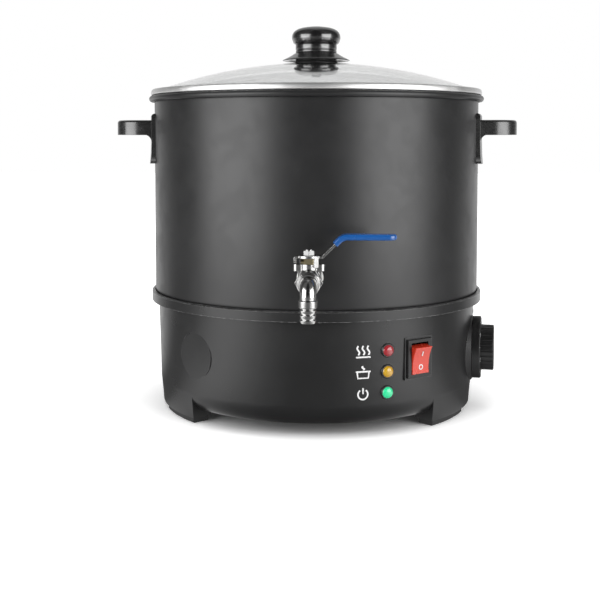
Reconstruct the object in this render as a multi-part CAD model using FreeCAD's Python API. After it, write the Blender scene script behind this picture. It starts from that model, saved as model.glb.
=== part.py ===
import FreeCAD, Part
import math
import os

# A ten litre wax melter. Millimetres, +Z up, the origin on the floor under the pot's axis.
# The front is -Y and the right side is +X. A bearing is an angle in degrees about the
# pot's axis, counted from the front towards +X.

os.makedirs("parts", exist_ok=True)
Vector = FreeCAD.Vector
origin = Vector(0, 0, 0)
along_x = Vector(1, 0, 0)
along_y = Vector(0, 1, 0)
along_z = Vector(0, 0, 1)

# ---- Clearances -----------------------------------------------------------------------
running_gap = 0.06        # radial, between a shaft and its bore
seat_gap = 0.1            # between two fixed pieces that are pushed together
moving_gap = 0.3          # between a moving piece and what it passes
curve_error = 0.2         # how far the straight steps of a turned curve may leave it

# ---- Pot ------------------------------------------------------------------------------
pot_radius = 140.0
pot_wall = 1.5
pot_depth = 169.1         # from the underside to the middle of the rolled rim
pot_corner_radius = 8.0
rim_bead_radius = 2.6
rim_overhang = 4.6        # how far the rim stands out from the wall
rim_lead = 2.0            # width of the rim's flat top
through = 5.0             # how far the cutter of a side hole passes the pot's wall

# ---- Base shell -----------------------------------------------------------------------
shell_wall = 2.5
collar_gap = 0.6
collar_height = 8.3
collar_bottom_z = 91.5
collar_chamfer = 0.8
ledge_width = 22.0        # how far the pot's seat ring reaches in under the pot
ring_inset = 2.0          # from the pot's wall to the ring's outer edge
ring_lip_wall = 2.0       # the ring's lip, which drops inside the base wall
ring_lip_height = 5.0
collar_tongue = 1.25      # thickness of the collar's edge, which the ring holds down
wall_set_back = 2.65      # from the pot's wall to the base wall just below the collar
wall_taper = 1.85         # how much the base wall narrows on its way down
skirt_taper = 1.9
round_radius = 17.0       # the rolled-under edge at the front and back
base_bottom_z = 9.0
skirt_bottom_z = 4.5
skirt_depth = 17.8        # radial depth of a side skirt
skirt_half_span = 44.3    # degrees to each side of the left and right bearings
cover_land = 5.5          # flat ring under the base, outside the cover's recess
cover_rebate = 9.0        # width of the flange that the cover lies against

# ---- Bottom cover and feet ------------------------------------------------------------
cover_thickness = 2.0
cover_vent_count = 12
cover_vent_width = 3.5
cover_vent_length = 36.0
cover_vent_margin = 22.0  # from the cover's flange to the vents
cover_screw_inset = 4.0   # from the cover's edge to the middle of a screw
cover_screw_radius = 1.4
cover_screw_length = 13.0
cover_screw_head = 1.6
cover_screw_play = 0.4
cover_screw_bearings = (0, 90, 180, 270)
screw_post_radius = 4.0
foot_span = 22.5          # degrees
foot_end_margin = 1.0     # degrees from a skirt's end to its foot
foot_inset = 1.5
foot_round = 1.0
foot_peg_radius = 3.0
foot_peg_height = 1.8
foot_peg_turn = 6.0       # degrees from the foot's middle to each peg

# ---- Heater under the pot -------------------------------------------------------------
plate_margin = 18.0       # from the ledge's inner edge to the heater plate
plate_thickness = 4.0
plate_chamfer = 1.0
element_inset = 24.0      # from the plate's edge to the middle of the element
element_half_width = 4.0
element_height = 6.0
element_gap_angle = 34.0
terminal_radius = 1.6
terminal_length = 20.0
bush_radius = 5.0
bush_step = 1.2
bush_height = 9.0
bush_drop = 4.0           # how far a bush reaches below the heat shield
shield_thickness = 0.8
shield_rim_gap = 2.6      # from the ring's lip to the shield's rim
shield_mouth_gap = 5.0    # from the ledge's inner edge to the shield's wall
shield_slope = 6.0        # how much narrower the shield's floor is than its mouth
shield_depth = 17.5
stud_radius = 2.0
stud_length = 10.0
stud_play = 0.3
stud_bearings = (45, 135, 225, 315)
nut_across_flats = 7.0
nut_height = 3.2
cutout_radius = 8.5
cutout_height = 9.0
cutout_flange = 2.5
cutout_blade_length = 6.0
cutout_offset = 38.0
cutout_bearing = -60.0
block_width = 42.0        # terminal block
block_depth = 17.0
block_height = 15.0
block_pitch = 13.0
block_well_radius = 3.2
block_well_depth = 6.0
block_wire_width = 5.0
block_wire_height = 4.0
block_offset = 26.0
block_bearing = 150.0
block_turn = 62.0
blade_thickness = 0.8     # flat push-on terminals
blade_width = 6.3

# ---- Control fittings in the base wall ------------------------------------------------
controls_above_middle = 0.75   # height of the dial and lamps over the wall's middle
dial_bearing = 81.0
dial_flange_radius = 26.4
dial_flange_thickness = 6.8
dial_grip_radius = 19.3
dial_grip_height = 10.8
dial_flute_count = 28
dial_flute_radius = 0.9
dial_wall = 2.2
dial_gap = 0.4
dial_hub_radius = 7.0
dial_face_cover = 4.5     # solid thickness over the end of the shaft
dial_round = 0.8
pointer_width = 2.0
pointer_depth = 0.6
pointer_start = 4.0
boss_face_radius = 27.0
boss_flare = 6.0
boss_set_back = 0.35      # from the wall's greatest radius to the boss's face
shaft_radius = 3.0
shaft_flat = 0.55         # height of the flat, as a share of the shaft's radius
shaft_in_body = 11.5      # how far the shaft reaches into the thermostat
bushing_radius = 5.0
thermostat_width = 28.0
thermostat_depth = 21.0
thermostat_plate_height = 42.0
thermostat_plate_thickness = 1.0
thermostat_screw_pitch = 34.0
thermostat_screw_radius = 1.4
thermostat_screw_length = 2.4
thermostat_screw_head = 2.8
thermostat_head_height = 1.8
thermostat_blade_offset = 9.0
thermostat_blade_length = 8.0
bulb_radius = 3.0
bulb_length = 60.0
bulb_inset = 12.0         # from the plate's edge to the bulb
capillary_radius = 1.0
capillary_bend = 6.0

lamp_bearing = 25.5
lamp_pitch = 16.35
lamp_bezel_radius = 5.65
lamp_bezel_thickness = 1.2
lamp_lens_radius = 4.4
lamp_lens_rise = 1.9
lamp_lens_edge = 0.8
lamp_lens_seat = 0.7      # depth of the lens's seat in its bezel
lamp_stem_length = 6.0
lamp_barrel_radius = 3.9
lamp_barrel_wall = 0.7
lamp_barrel_length = 12.0
lamp_pad_radius = 6.2
lamp_clip_radius = 6.5
lamp_clip_thickness = 0.7
lamp_clip_gap = 0.6       # from the wall's inside to the clip
pad_rise = 0.25           # how far the lamp and gland pads stand out of the wall
pad_depth = 1.9           # how deep the pads are let into the wall

switch_bearing = 37.5
switch_above_controls = 8.0
switch_pad_width = 27.6
switch_pad_height = 33.0
switch_pad_set_back = 0.25   # from the wall's greatest radius to the pad's face
switch_bezel_width = 24.4
switch_bezel_height = 30.0
switch_bezel_thickness = 1.8
switch_opening_width = 17.2
switch_opening_height = 24.4
switch_body_wall = 1.9
switch_body_end_wall = 1.3
switch_body_depth = 20.0
switch_floor = 4.0
switch_chamfer = 0.5
switch_pin_depth = 1.3
paddle_pivot_depth = 3.6
paddle_half_height = 11.2
paddle_crest = 8.9        # from the pivot to the rocker's two raised ends
paddle_hollow = 2.0       # depth of the dished face
paddle_tilt = 11.0        # degrees to each side of the middle
paddle_pin_radius = 1.5
paddle_edge = 0.5
switch_blade_count = 3
switch_blade_width = 4.8
switch_blade_length = 8.0
switch_blade_pitch = 7.5

gland_bearing = 155.0
gland_below_controls = 9.0
gland_radius = 9.0
gland_bore = 3.6
gland_barrel_radius = 6.9
gland_barrel_length = 9.0
gland_flange_thickness = 3.0
gland_nose_length = 5.0
gland_nose_wall = 1.4
gland_pad_margin = 1.0

blank_bearing = -43.0     # the unused round facet at the left
blank_above_controls = 6.0
blank_radius = 18.5
blank_depth = 0.55

# ---- Handles --------------------------------------------------------------------------
handle_drop = 12.6        # from the middle of the rolled rim to the plate's top
handle_plate_half_width = 38.5
handle_plate_height = 42.5
handle_plate_thickness = 3.2
handle_plate_foot = 1.1   # extra thickness at the lower edge
handle_plate_corner = 6.0
handle_plate_round = 2.5  # rounding of the plate's upper edge
handle_reach = 33.0       # from the pot's wall to the front of the grip
handle_grip_half_width = 34.0
handle_grip_drop = 18.1   # from the middle of the rolled rim to the grip's top
handle_grip_height = 12.5
handle_grip_corner = 22.0
handle_grip_front_radius = 110.0
handle_wall = 3.0
handle_edge_radius = 2.4
handle_gusset = 6.0
handle_screw_spread = 20.45   # from the handle's middle to each screw
handle_screw_drop = 24.4  # from the middle of the rolled rim
handle_screw_radius = 2.0
handle_screw_length = 14.0
handle_boss_radius = 4.4
screw_head_radius = 4.2
screw_head_height = 2.6
screw_seat_gap = 0.15     # a flat head stands this far off the pot's curved wall

# ---- Ball valve -----------------------------------------------------------------------
valve_rise = 31.3         # from the ledge to the valve's axis
valve_bore = 4.2
valve_shank_radius = 6.6
valve_shank_end = 2.0     # how far the shank passes its lock nut
valve_neck_step = 1.2     # how much thicker the neck is than the shank
valve_edge = 0.8
valve_reach = 21.5        # from the pot's wall to the stem's axis
valve_chamber_radius = 8.9
valve_end_flats = 17.8
valve_end_depth = 5.0     # of the hexagon at the body's outer end
valve_hex_flats = 18.0
valve_hex_depth = 5.5
valve_washer_radius = 10.0
valve_washer_thickness = 1.5
lock_nut_flats = 19.0
lock_nut_depth = 5.0
ball_radius = 7.0
ball_slot_width = 3.2
ball_slot_depth = 2.2
seat_outer_radius = 7.4
chamber_half_length = 9.3
seat_inner_distance = 3.6    # from the ball's middle to a seat's inner face
bonnet_radius = 6.4
bonnet_height = 12.8      # from the valve's axis to the bonnet's top
ear_half_span = 11.7
ear_half_depth = 3.0
ear_thickness = 5.1
stem_radius = 3.0
stem_flat = 0.72          # height of the two flats, as a share of the stem's radius
stem_end = 0.5            # how far the stem passes its nut
gland_nut_flats = 11.0
gland_nut_height = 4.2
lever_thickness = 1.8
lever_half_width = 4.5
lever_hub_radius = 8.6
lever_rise_start = 10.0
lever_slope = 45.0
lever_lift = 15.4         # from the hub's underside to the middle of the raised part
lever_reach = 64.0
lever_bend_radius = 9.0
lever_tab_bearing = 42.0
lever_tab_drop = 6.6
lever_tab_half_width = 2.0
lever_shoulder_reach = 11.0  # from the stem to the bent edge opposite the lever
lever_shoulder_drop = 3.6
lever_shoulder_bend = 2.4
sleeve_thickness = 1.3
sleeve_half_width = 6.0
sleeve_start = 19.0
sleeve_round = 1.7
sleeve_fit = 0.05         # between the sleeve and the steel all round
stem_nut_flats = 8.0
stem_nut_height = 3.8
end_cap_radius = 8.8
end_cap_depth = 4.7
end_step_radius = 7.3
end_step_depth = 1.5
spout_radius = 6.05
spout_bend_radius = 8.5
spout_offset = 20.0       # from the stem's axis to the spout's
spout_drop = 27.3         # from the valve's axis to the spout's end
hose_collar_radius = 7.05
hose_collar_drop = 10.7   # from the valve's axis to the collar's top
hose_collar_height = 5.7
hose_collar_chamfer = 0.5
barb_root_radius = 5.5
barb_tip_radius = 6.15
barb_count = 3

# ---- Lid ------------------------------------------------------------------------------
lid_gap = 0.3             # over the rolled rim
band_overhang = 3.0       # from the pot's wall to the band's outside
band_height = 5.0
band_thickness = 0.6
band_top_width = 4.6
band_bend = 0.8
lip_depth = 6.5
lip_gap = 0.6             # inside the pot's mouth
glass_thickness = 3.4
glass_flat_width = 4.0
glass_rise = 24.5
glass_hole_radius = 3.4
glass_bevel = 0.6
gasket_thickness = 2.7
gasket_flare = 1.9        # how far its foot spreads
gasket_edge = 0.6
knob_neck_radius = 18.0
knob_skirt_radius = 29.4
knob_skirt_height = 6.6
knob_neck_height = 7.1
knob_cap_radius = 21.2
knob_cap_height = 15.6
knob_bore_play = 0.6
knob_screw_radius = 2.4
knob_screw_grip = 7.5     # how far the screw reaches into the cap
knob_screw_head = 4.8
skirt_edge_drop = 0.5     # how far the skirt's thin edge hangs below its foot
neck_groove = 0.5
washer_radius = 19.6
washer_dish = 4.4
washer_thickness = 1.1

# ---- Sizes that follow from the ones above --------------------------------------------
ledge_top_z = collar_bottom_z + shell_wall
collar_top_z = collar_bottom_z + collar_height
collar_inner_radius = pot_radius + collar_gap
collar_outer_radius = collar_inner_radius + shell_wall
ledge_inner_radius = pot_radius - ledge_width
wall_top_radius = pot_radius - wall_set_back
wall_bottom_radius = wall_top_radius - wall_taper
round_top_z = base_bottom_z + round_radius
round_centre_radius = wall_bottom_radius - round_radius
wall_slope = wall_taper / (collar_bottom_z - round_top_z)
ring_lip_low_z = collar_bottom_z - ring_lip_height
ring_lip_outer = wall_top_radius - ring_lip_height * wall_slope - shell_wall - seat_gap
ring_lip_inner = ring_lip_outer - ring_lip_wall
ring_outer_radius = pot_radius - ring_inset
tongue_top_z = collar_bottom_z + collar_tongue
tongue_inner_radius = wall_top_radius - shell_wall
shield_rim_radius = ring_lip_inner - shield_rim_gap
shield_top_radius = ledge_inner_radius - shield_mouth_gap
shield_floor_radius = shield_top_radius - shield_slope
shield_floor_z = collar_bottom_z - shield_depth
stud_circle = (ledge_inner_radius + shield_rim_radius) / 2
skirt_outer_radius = wall_bottom_radius - skirt_taper
skirt_inner_radius = skirt_outer_radius - skirt_depth
cover_recess_radius = round_centre_radius - cover_land
cover_rim_radius = cover_recess_radius - cover_rebate
cover_screw_circle = cover_recess_radius - cover_screw_inset
cover_vent_outer = cover_rim_radius - cover_vent_margin
cover_vent_inner = cover_vent_outer - cover_vent_length
cover_top_z = base_bottom_z + cover_thickness
flange_top_z = cover_top_z + shell_wall
pot_floor_z = ledge_top_z + pot_wall
pot_inner_radius = pot_radius - pot_wall
rim_z = ledge_top_z + pot_depth
rim_centre_radius = pot_radius + rim_overhang - rim_bead_radius
rim_top_z = rim_z + rim_bead_radius
lid_bottom_z = rim_top_z + lid_gap
band_outer_radius = pot_radius + band_overhang
plate_radius = ledge_inner_radius - plate_margin
plate_bottom_z = ledge_top_z - plate_thickness
element_circle = plate_radius - element_inset
bulb_offset = plate_radius - bulb_inset
controls_z = (base_bottom_z + collar_bottom_z) / 2 + controls_above_middle
dial_z = controls_z
switch_z = controls_z + switch_above_controls
gland_z = controls_z - gland_below_controls
blank_z = controls_z + blank_above_controls
lamp_heights = [controls_z + step * lamp_pitch for step in (1, 0, -1)]
boss_face_distance = wall_top_radius - boss_set_back
boss_inner_distance = boss_face_distance - shell_wall
thermostat_plate_near = boss_inner_distance - thermostat_plate_thickness
thermostat_near = thermostat_plate_near - thermostat_depth
switch_pad_distance = wall_top_radius - switch_pad_set_back
paddle_pivot_distance = switch_pad_distance - paddle_pivot_depth
handle_plate_high_z = rim_z - handle_drop
handle_plate_low_z = handle_plate_high_z - handle_plate_height
handle_grip_high_z = rim_z - handle_grip_drop
handle_grip_low_z = handle_grip_high_z - handle_grip_height
handle_screw_z = rim_z - handle_screw_drop
handle_screw_turn = math.degrees(math.asin(handle_screw_spread / pot_radius))
valve_z = ledge_top_z + valve_rise
valve_stem_distance = pot_radius + valve_reach
spout_distance = valve_stem_distance + spout_offset
spout_low_z = valve_z - spout_drop
hose_collar_high_z = valve_z - hose_collar_drop
hose_collar_low_z = hose_collar_high_z - hose_collar_height
bonnet_top_z = valve_z + bonnet_height
gland_nut_top_z = bonnet_top_z + gland_nut_height
lever_low_z = gland_nut_top_z + moving_gap
lever_high_z = lever_low_z + lever_lift
stem_nut_low_z = lever_low_z + lever_thickness
stem_top_z = stem_nut_low_z + stem_nut_height + stem_end
glass_low_z = lid_bottom_z + band_thickness + seat_gap
glass_high_z = glass_low_z + glass_thickness
glass_edge_radius = band_outer_radius - band_thickness - seat_gap
dome_radius = glass_edge_radius - glass_flat_width
dome_sphere = (dome_radius ** 2 + glass_rise ** 2) / (2 * glass_rise)
lid_top_z = glass_high_z + glass_rise
dome_centre_z = lid_top_z - dome_sphere
skirt_low_z = lid_top_z + gasket_thickness
skirt_high_z = skirt_low_z + knob_skirt_height
neck_high_z = skirt_high_z + knob_neck_height
washer_touch_z = dome_centre_z + math.sqrt((dome_sphere - glass_thickness) ** 2 - washer_radius ** 2)
washer_rim_z = washer_touch_z - curve_error - seat_gap / 2
washer_floor_z = washer_rim_z - washer_dish


# ---- Small tools ----------------------------------------------------------------------
def outline(start, *steps):
    """A closed face in the XZ plane. A step is (x, z), or (middle, end) for an arc."""
    edges = []
    here = start
    for step in list(steps) + [start]:
        middle, end = step if isinstance(step[0], tuple) else (None, step)
        if end == here:
            continue
        ends = [Vector(here[0], 0, here[1]), Vector(end[0], 0, end[1])]
        if middle:
            edges.append(Part.Arc(ends[0], Vector(middle[0], 0, middle[1]), ends[1]).toShape())
        else:
            edges.append(Part.LineSegment(*ends).toShape())
        here = end
    return Part.Face(Part.Wire(edges))


def stepped(start, *steps):
    """The same outline with each arc drawn as a few straight steps."""
    points = []
    here = start
    for step in steps:
        if isinstance(step[0], tuple):
            ends = [Vector(point[0], 0, point[1]) for point in (here, step[0], step[1])]
            arc = Part.Arc(*ends).toShape()
            radius = arc.Curve.Radius
            longest = 2 * math.sqrt(2 * radius * curve_error)
            count = max(2, math.ceil(arc.Length / longest))
            points += [(point.x, point.z) for point in arc.discretize(count + 1)[1:-1]]
            step = step[1]
        points.append(step)
        here = step
    return points


def lathe(start, *steps, angle=360.0):
    """Turn an outline of (radius, height) points about Z, its curves in straight steps."""
    return outline(start, *stepped(start, *steps)).revolve(origin, along_z, angle)


def smooth_lathe(start, *steps):
    return outline(start, *steps).revolve(origin, along_z, 360)


def sector(start, *steps, first=0.0, last=90.0):
    """Turn an outline about Z from one bearing to another."""
    shape = lathe(start, *steps, angle=last - first)
    shape.rotate(origin, along_z, first - 90.0)
    return shape


def at_bearing(shape, bearing):
    """Carry a shape that was made at the front round to its bearing."""
    placed = shape.copy()
    placed.rotate(origin, along_z, bearing)
    return placed


def facing_front(shape, height):
    """Lay a shape turned about Z down, so that its +Z looks out at the front."""
    placed = shape.copy()
    placed.rotate(origin, along_x, 90)
    placed.translate(Vector(0, 0, height))
    return placed


def front_lathe(height, start, *steps):
    """A round piece whose axis runs out at the front. Points are (radius, distance)."""
    return facing_front(lathe(start, *steps), height)


def front_rod(radius, near, far, height):
    return facing_front(Part.makeCylinder(radius, far - near, Vector(0, 0, near)), height)


def front_block(width, near, far, low, high, middle=0.0):
    corner = Vector(middle - width / 2, -far, low)
    return Part.makeBox(width, far - near, high - low, corner)


def rod(radius, low, high, x=0.0, y=0.0):
    return Part.makeCylinder(radius, high - low, Vector(x, y, low))


def hexagon(across_flats, height, low, turn=0.0):
    """A hexagonal prism on the Z axis."""
    corner_radius = across_flats / math.sqrt(3)
    corners = []
    for step in range(7):
        angle = math.radians(60 * step + turn)
        along = corner_radius * math.cos(angle)
        across = corner_radius * math.sin(angle)
        corners.append(Vector(along, across, low))
    return Part.Face(Part.makePolygon(corners)).extrude(Vector(0, 0, height))


def on_circle(radius, bearing, height=0.0):
    angle = math.radians(bearing)
    return Vector(radius * math.sin(angle), -radius * math.cos(angle), height)


def joined(*shapes):
    return shapes[0].multiFuse(list(shapes[1:])).removeSplitter()


def group(shapes):
    return Part.makeCompound(shapes)


def wall_radius_at(height):
    """Outer radius of the base wall between the rolled edge and the collar."""
    return wall_bottom_radius + (height - round_top_z) * wall_slope


def on_arc(centre, radius, angle):
    """A point of a circle in the outline's plane, with the angle in degrees from +X."""
    turn = math.radians(angle)
    return (centre[0] + radius * math.cos(turn), centre[1] + radius * math.sin(turn))


# ---- Pot ------------------------------------------------------------------------------
def make_pot():
    corner = (pot_radius - pot_corner_radius, ledge_top_z + pot_corner_radius)
    inner_corner_radius = pot_corner_radius - pot_wall
    bead = (rim_centre_radius, rim_z)
    reach = rim_centre_radius - pot_radius
    bead_start = rim_z - math.sqrt(rim_bead_radius ** 2 - reach ** 2)
    shell = lathe(
        (0, ledge_top_z), (corner[0], ledge_top_z),
        (on_arc(corner, pot_corner_radius, -45), (pot_radius, corner[1])),
        (pot_radius, bead_start),
        (on_arc(bead, rim_bead_radius, 0), (rim_centre_radius, rim_top_z)),
        (rim_centre_radius - rim_lead, rim_top_z), (pot_inner_radius, rim_z),
        (pot_inner_radius, corner[1]),
        (on_arc(corner, inner_corner_radius, -45), (corner[0], pot_floor_z)),
        (0, pot_floor_z))
    near = pot_inner_radius - through
    far = pot_radius + through
    holes = [front_rod(valve_shank_radius + seat_gap, near, far, valve_z)]
    hole = front_rod(handle_screw_radius + seat_gap, near, far, handle_screw_z)
    for side in (90, -90):
        for turn in (-handle_screw_turn, handle_screw_turn):
            holes.append(at_bearing(hole, side + turn))
    return shell.cut(holes)


# ---- Base shell -----------------------------------------------------------------------
def shell_wall_ring():
    """The moulded ring: tapered wall, rolled-under edge and the flange for the cover."""
    middle = (round_centre_radius, round_top_z)
    inner_round = round_radius - shell_wall
    inner_start = (wall_bottom_radius - shell_wall, round_top_z)
    inner_curve = stepped(inner_start, (on_arc(middle, inner_round, -35),
                                        on_arc(middle, inner_round, -70)))
    return smooth_lathe(
        (cover_recess_radius, base_bottom_z), (round_centre_radius, base_bottom_z),
        (on_arc(middle, round_radius, -45), (wall_bottom_radius, round_top_z)),
        (wall_top_radius, collar_bottom_z), (wall_top_radius - shell_wall, collar_bottom_z),
        inner_start, *inner_curve,
        (inner_curve[-1][0], flange_top_z), (cover_rim_radius, flange_top_z),
        (cover_rim_radius, cover_top_z), (cover_recess_radius, cover_top_z))


def side_skirt(side):
    """The wall's lower part at one side, which carries two feet."""
    return sector(
        (skirt_inner_radius, skirt_bottom_z), (skirt_outer_radius, skirt_bottom_z),
        (wall_bottom_radius, round_top_z), (skirt_inner_radius, round_top_z),
        first=side - skirt_half_span, last=side + skirt_half_span)


def skirt_pocket(side):
    """The hollow of a side skirt, open to the inside of the base."""
    end_wall = math.degrees(shell_wall / skirt_inner_radius)
    floor_z = skirt_bottom_z + shell_wall
    return sector(
        (skirt_inner_radius + shell_wall, floor_z), (skirt_outer_radius - shell_wall, floor_z),
        (wall_bottom_radius - shell_wall, round_top_z), (cover_rim_radius, round_top_z),
        (cover_rim_radius, flange_top_z), (skirt_inner_radius + shell_wall, flange_top_z),
        first=side - skirt_half_span + end_wall, last=side + skirt_half_span - end_wall)


def dial_boss():
    low = boss_face_distance - boss_flare
    return front_lathe(dial_z, (0, low), (boss_face_radius + boss_flare, low),
                       (boss_face_radius, boss_face_distance), (0, boss_face_distance))


def pad_distance(height):
    """Distance of a small pad's face from the base's axis."""
    return wall_radius_at(height) + pad_rise


def wall_pads():
    """Flat pads on the curved wall, one behind each fitting."""
    pads = [at_bearing(dial_boss(), dial_bearing)]
    for height in lamp_heights:
        far = pad_distance(height)
        pads.append(at_bearing(front_rod(lamp_pad_radius, far - pad_depth, far, height), lamp_bearing))
    half = switch_pad_height / 2
    pad = front_block(switch_pad_width, switch_pad_distance - shell_wall, switch_pad_distance,
                      switch_z - half, switch_z + half)
    pads.append(at_bearing(pad, switch_bearing))
    far = pad_distance(gland_z)
    pad = front_rod(gland_radius + gland_pad_margin, far - pad_depth, far, gland_z)
    pads.append(at_bearing(pad, gland_bearing))
    far = wall_radius_at(blank_z) - blank_depth
    pads.append(at_bearing(front_rod(blank_radius, far - pad_depth, far, blank_z), blank_bearing))
    return pads


def wall_holes():
    """Everything that is cut through the base wall for the fittings."""
    near = round_centre_radius
    out = collar_outer_radius
    recess = front_rod(boss_face_radius - shell_wall, near, boss_inner_distance, dial_z)
    holes = [at_bearing(recess, dial_bearing)]
    holes.append(at_bearing(front_rod(bushing_radius + seat_gap, near, out, dial_z), dial_bearing))
    screw_reach = thermostat_screw_length - thermostat_plate_thickness + 2 * seat_gap
    for step in (-1, 1):
        screw_z = dial_z + step * thermostat_screw_pitch / 2
        hole = front_rod(thermostat_screw_radius + seat_gap, near, boss_inner_distance + screw_reach,
                         screw_z)
        holes.append(at_bearing(hole, dial_bearing))
    for height in lamp_heights:
        hole = front_rod(lamp_barrel_radius + seat_gap, near, out, height)
        holes.append(at_bearing(hole, lamp_bearing))
    width = switch_opening_width + 2 * switch_body_wall + 2 * seat_gap
    half = switch_opening_height / 2 + switch_body_end_wall + seat_gap
    slot = front_block(width, near, out, switch_z - half, switch_z + half)
    holes.append(at_bearing(slot, switch_bearing))
    hole = front_rod(gland_barrel_radius + seat_gap, near, out, gland_z)
    holes.append(at_bearing(hole, gland_bearing))
    return holes


def blank_facet():
    far = wall_radius_at(blank_z) - blank_depth
    return at_bearing(front_rod(blank_radius, far, collar_outer_radius, blank_z), blank_bearing)


def screw_posts():
    posts = []
    for bearing in cover_screw_bearings:
        place = on_circle(cover_screw_circle, bearing)
        posts.append(rod(screw_post_radius, cover_top_z, round_top_z, place.x, place.y))
    return posts


def foot_bearings():
    """Middle bearings of the four feet, at the ends of the two side skirts."""
    inward = skirt_half_span - foot_span / 2 - foot_end_margin
    return [side + turn * inward for side in (90, -90) for turn in (-1, 1)]


def peg_places():
    middle = (skirt_inner_radius + skirt_outer_radius) / 2
    return [on_circle(middle, bearing + turn)
            for bearing in foot_bearings() for turn in (-foot_peg_turn, foot_peg_turn)]


def make_base_shell():
    shell = joined(shell_wall_ring(), side_skirt(90), side_skirt(-90))
    shell = shell.cut([skirt_pocket(90), skirt_pocket(-90), blank_facet()])
    shell = joined(shell, *wall_pads(), *screw_posts())
    cuts = wall_holes()
    for bearing in cover_screw_bearings:
        place = on_circle(cover_screw_circle, bearing)
        cuts.append(rod(cover_screw_radius + seat_gap, base_bottom_z, round_top_z - 1,
                        place.x, place.y))
    for place in peg_places():
        cuts.append(rod(foot_peg_radius + seat_gap, skirt_bottom_z - 1,
                        skirt_bottom_z + foot_peg_height + seat_gap, place.x, place.y))
    return shell.cut(cuts).removeSplitter()


def make_pot_ring():
    """The ring that the pot stands on. Its lip drops inside the base wall."""
    ring = smooth_lathe(
        (ledge_inner_radius, collar_bottom_z), (ring_lip_inner, collar_bottom_z),
        (ring_lip_inner, ring_lip_low_z), (ring_lip_outer, ring_lip_low_z),
        (ring_lip_outer, tongue_top_z), (ring_outer_radius, tongue_top_z),
        (ring_outer_radius, ledge_top_z), (ledge_inner_radius, ledge_top_z))
    holes = []
    for bearing in stud_bearings:
        place = on_circle(stud_circle, bearing)
        holes.append(rod(stud_radius + stud_play, collar_bottom_z - 1, ledge_top_z + 1,
                         place.x, place.y))
    return ring.cut(holes)


def make_pot_collar():
    """The band round the pot's foot, held down on the base wall by the ring."""
    step_radius = ring_outer_radius + seat_gap
    return smooth_lathe(
        (tongue_inner_radius, collar_bottom_z), (collar_outer_radius, collar_bottom_z),
        (collar_outer_radius, collar_top_z - collar_chamfer),
        (collar_outer_radius - collar_chamfer, collar_top_z),
        (collar_inner_radius, collar_top_z), (collar_inner_radius, ledge_top_z),
        (step_radius, ledge_top_z), (step_radius, tongue_top_z),
        (tongue_inner_radius, tongue_top_z))


# ---- Bottom cover and feet ------------------------------------------------------------
def make_bottom_cover():
    radius = cover_recess_radius - 2 * seat_gap
    cover = rod(radius, base_bottom_z, cover_top_z)
    cuts = []
    half = cover_vent_width / 2
    for step in range(cover_vent_count):
        slot = front_block(cover_vent_width, cover_vent_inner, cover_vent_outer,
                           base_bottom_z - 1, cover_top_z + 1)
        ends = [rod(half, base_bottom_z - 1, cover_top_z + 1, 0, -distance)
                for distance in (cover_vent_inner, cover_vent_outer)]
        cuts.append(at_bearing(slot.fuse(ends), (step + 0.5) * 360 / cover_vent_count))
    for bearing in cover_screw_bearings:
        place = on_circle(cover_screw_circle, bearing)
        cuts.append(rod(cover_screw_radius + cover_screw_play, base_bottom_z - 1, cover_top_z + 1,
                        place.x, place.y))
    return cover.cut(cuts)


def make_cover_screws():
    head_radius = 2.2 * cover_screw_radius
    bevel = cover_screw_head / 3
    low = base_bottom_z - cover_screw_head
    top = base_bottom_z + cover_screw_length
    screw = lathe((0, low), (head_radius - bevel, low), (head_radius, low + bevel),
                  (head_radius, base_bottom_z), (cover_screw_radius, base_bottom_z),
                  (cover_screw_radius, top - cover_screw_radius), (0, top))
    screws = []
    for bearing in cover_screw_bearings:
        placed = screw.copy()
        placed.translate(on_circle(cover_screw_circle, bearing))
        screws.append(placed)
    return group(screws)


def make_foot_pads():
    pads = []
    half = foot_span / 2
    inner = skirt_inner_radius + foot_inset
    outer = skirt_outer_radius - foot_inset
    for bearing in foot_bearings():
        pad = sector((inner + foot_round, 0), (outer - foot_round, 0), (outer, foot_round),
                     (outer, skirt_bottom_z), (inner, skirt_bottom_z), (inner, foot_round),
                     first=bearing - half, last=bearing + half)
        pads.append(pad)
    for index, place in enumerate(peg_places()):
        peg = rod(foot_peg_radius, skirt_bottom_z - 1, skirt_bottom_z + foot_peg_height,
                  place.x, place.y)
        pads[index // 2] = pads[index // 2].fuse(peg)
    return group(pads)


# ---- Heater ---------------------------------------------------------------------------
def make_heater_plate():
    edge = plate_chamfer
    return lathe((0, plate_bottom_z), (plate_radius - edge, plate_bottom_z),
                 (plate_radius, plate_bottom_z + edge), (plate_radius, ledge_top_z), (0, ledge_top_z))


def element_ends():
    """Where the two ends of the heating ring turn down."""
    return [on_circle(element_circle, 180 + turn * element_gap_angle / 2) for turn in (-1, 1)]


def make_heating_element():
    top = plate_bottom_z
    low = top - element_height
    wide = element_half_width
    narrow = wide / 2
    ring = sector((element_circle - wide, top), (element_circle - wide, top - wide / 2),
                  (element_circle - narrow, low), (element_circle + narrow, low),
                  (element_circle + wide, top - wide / 2), (element_circle + wide, top),
                  first=180 + element_gap_angle / 2 - 2, last=540 - element_gap_angle / 2 + 2)
    pins = [rod(terminal_radius, low - terminal_length, top, place.x, place.y)
            for place in element_ends()]
    return joined(ring, *pins)


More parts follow.
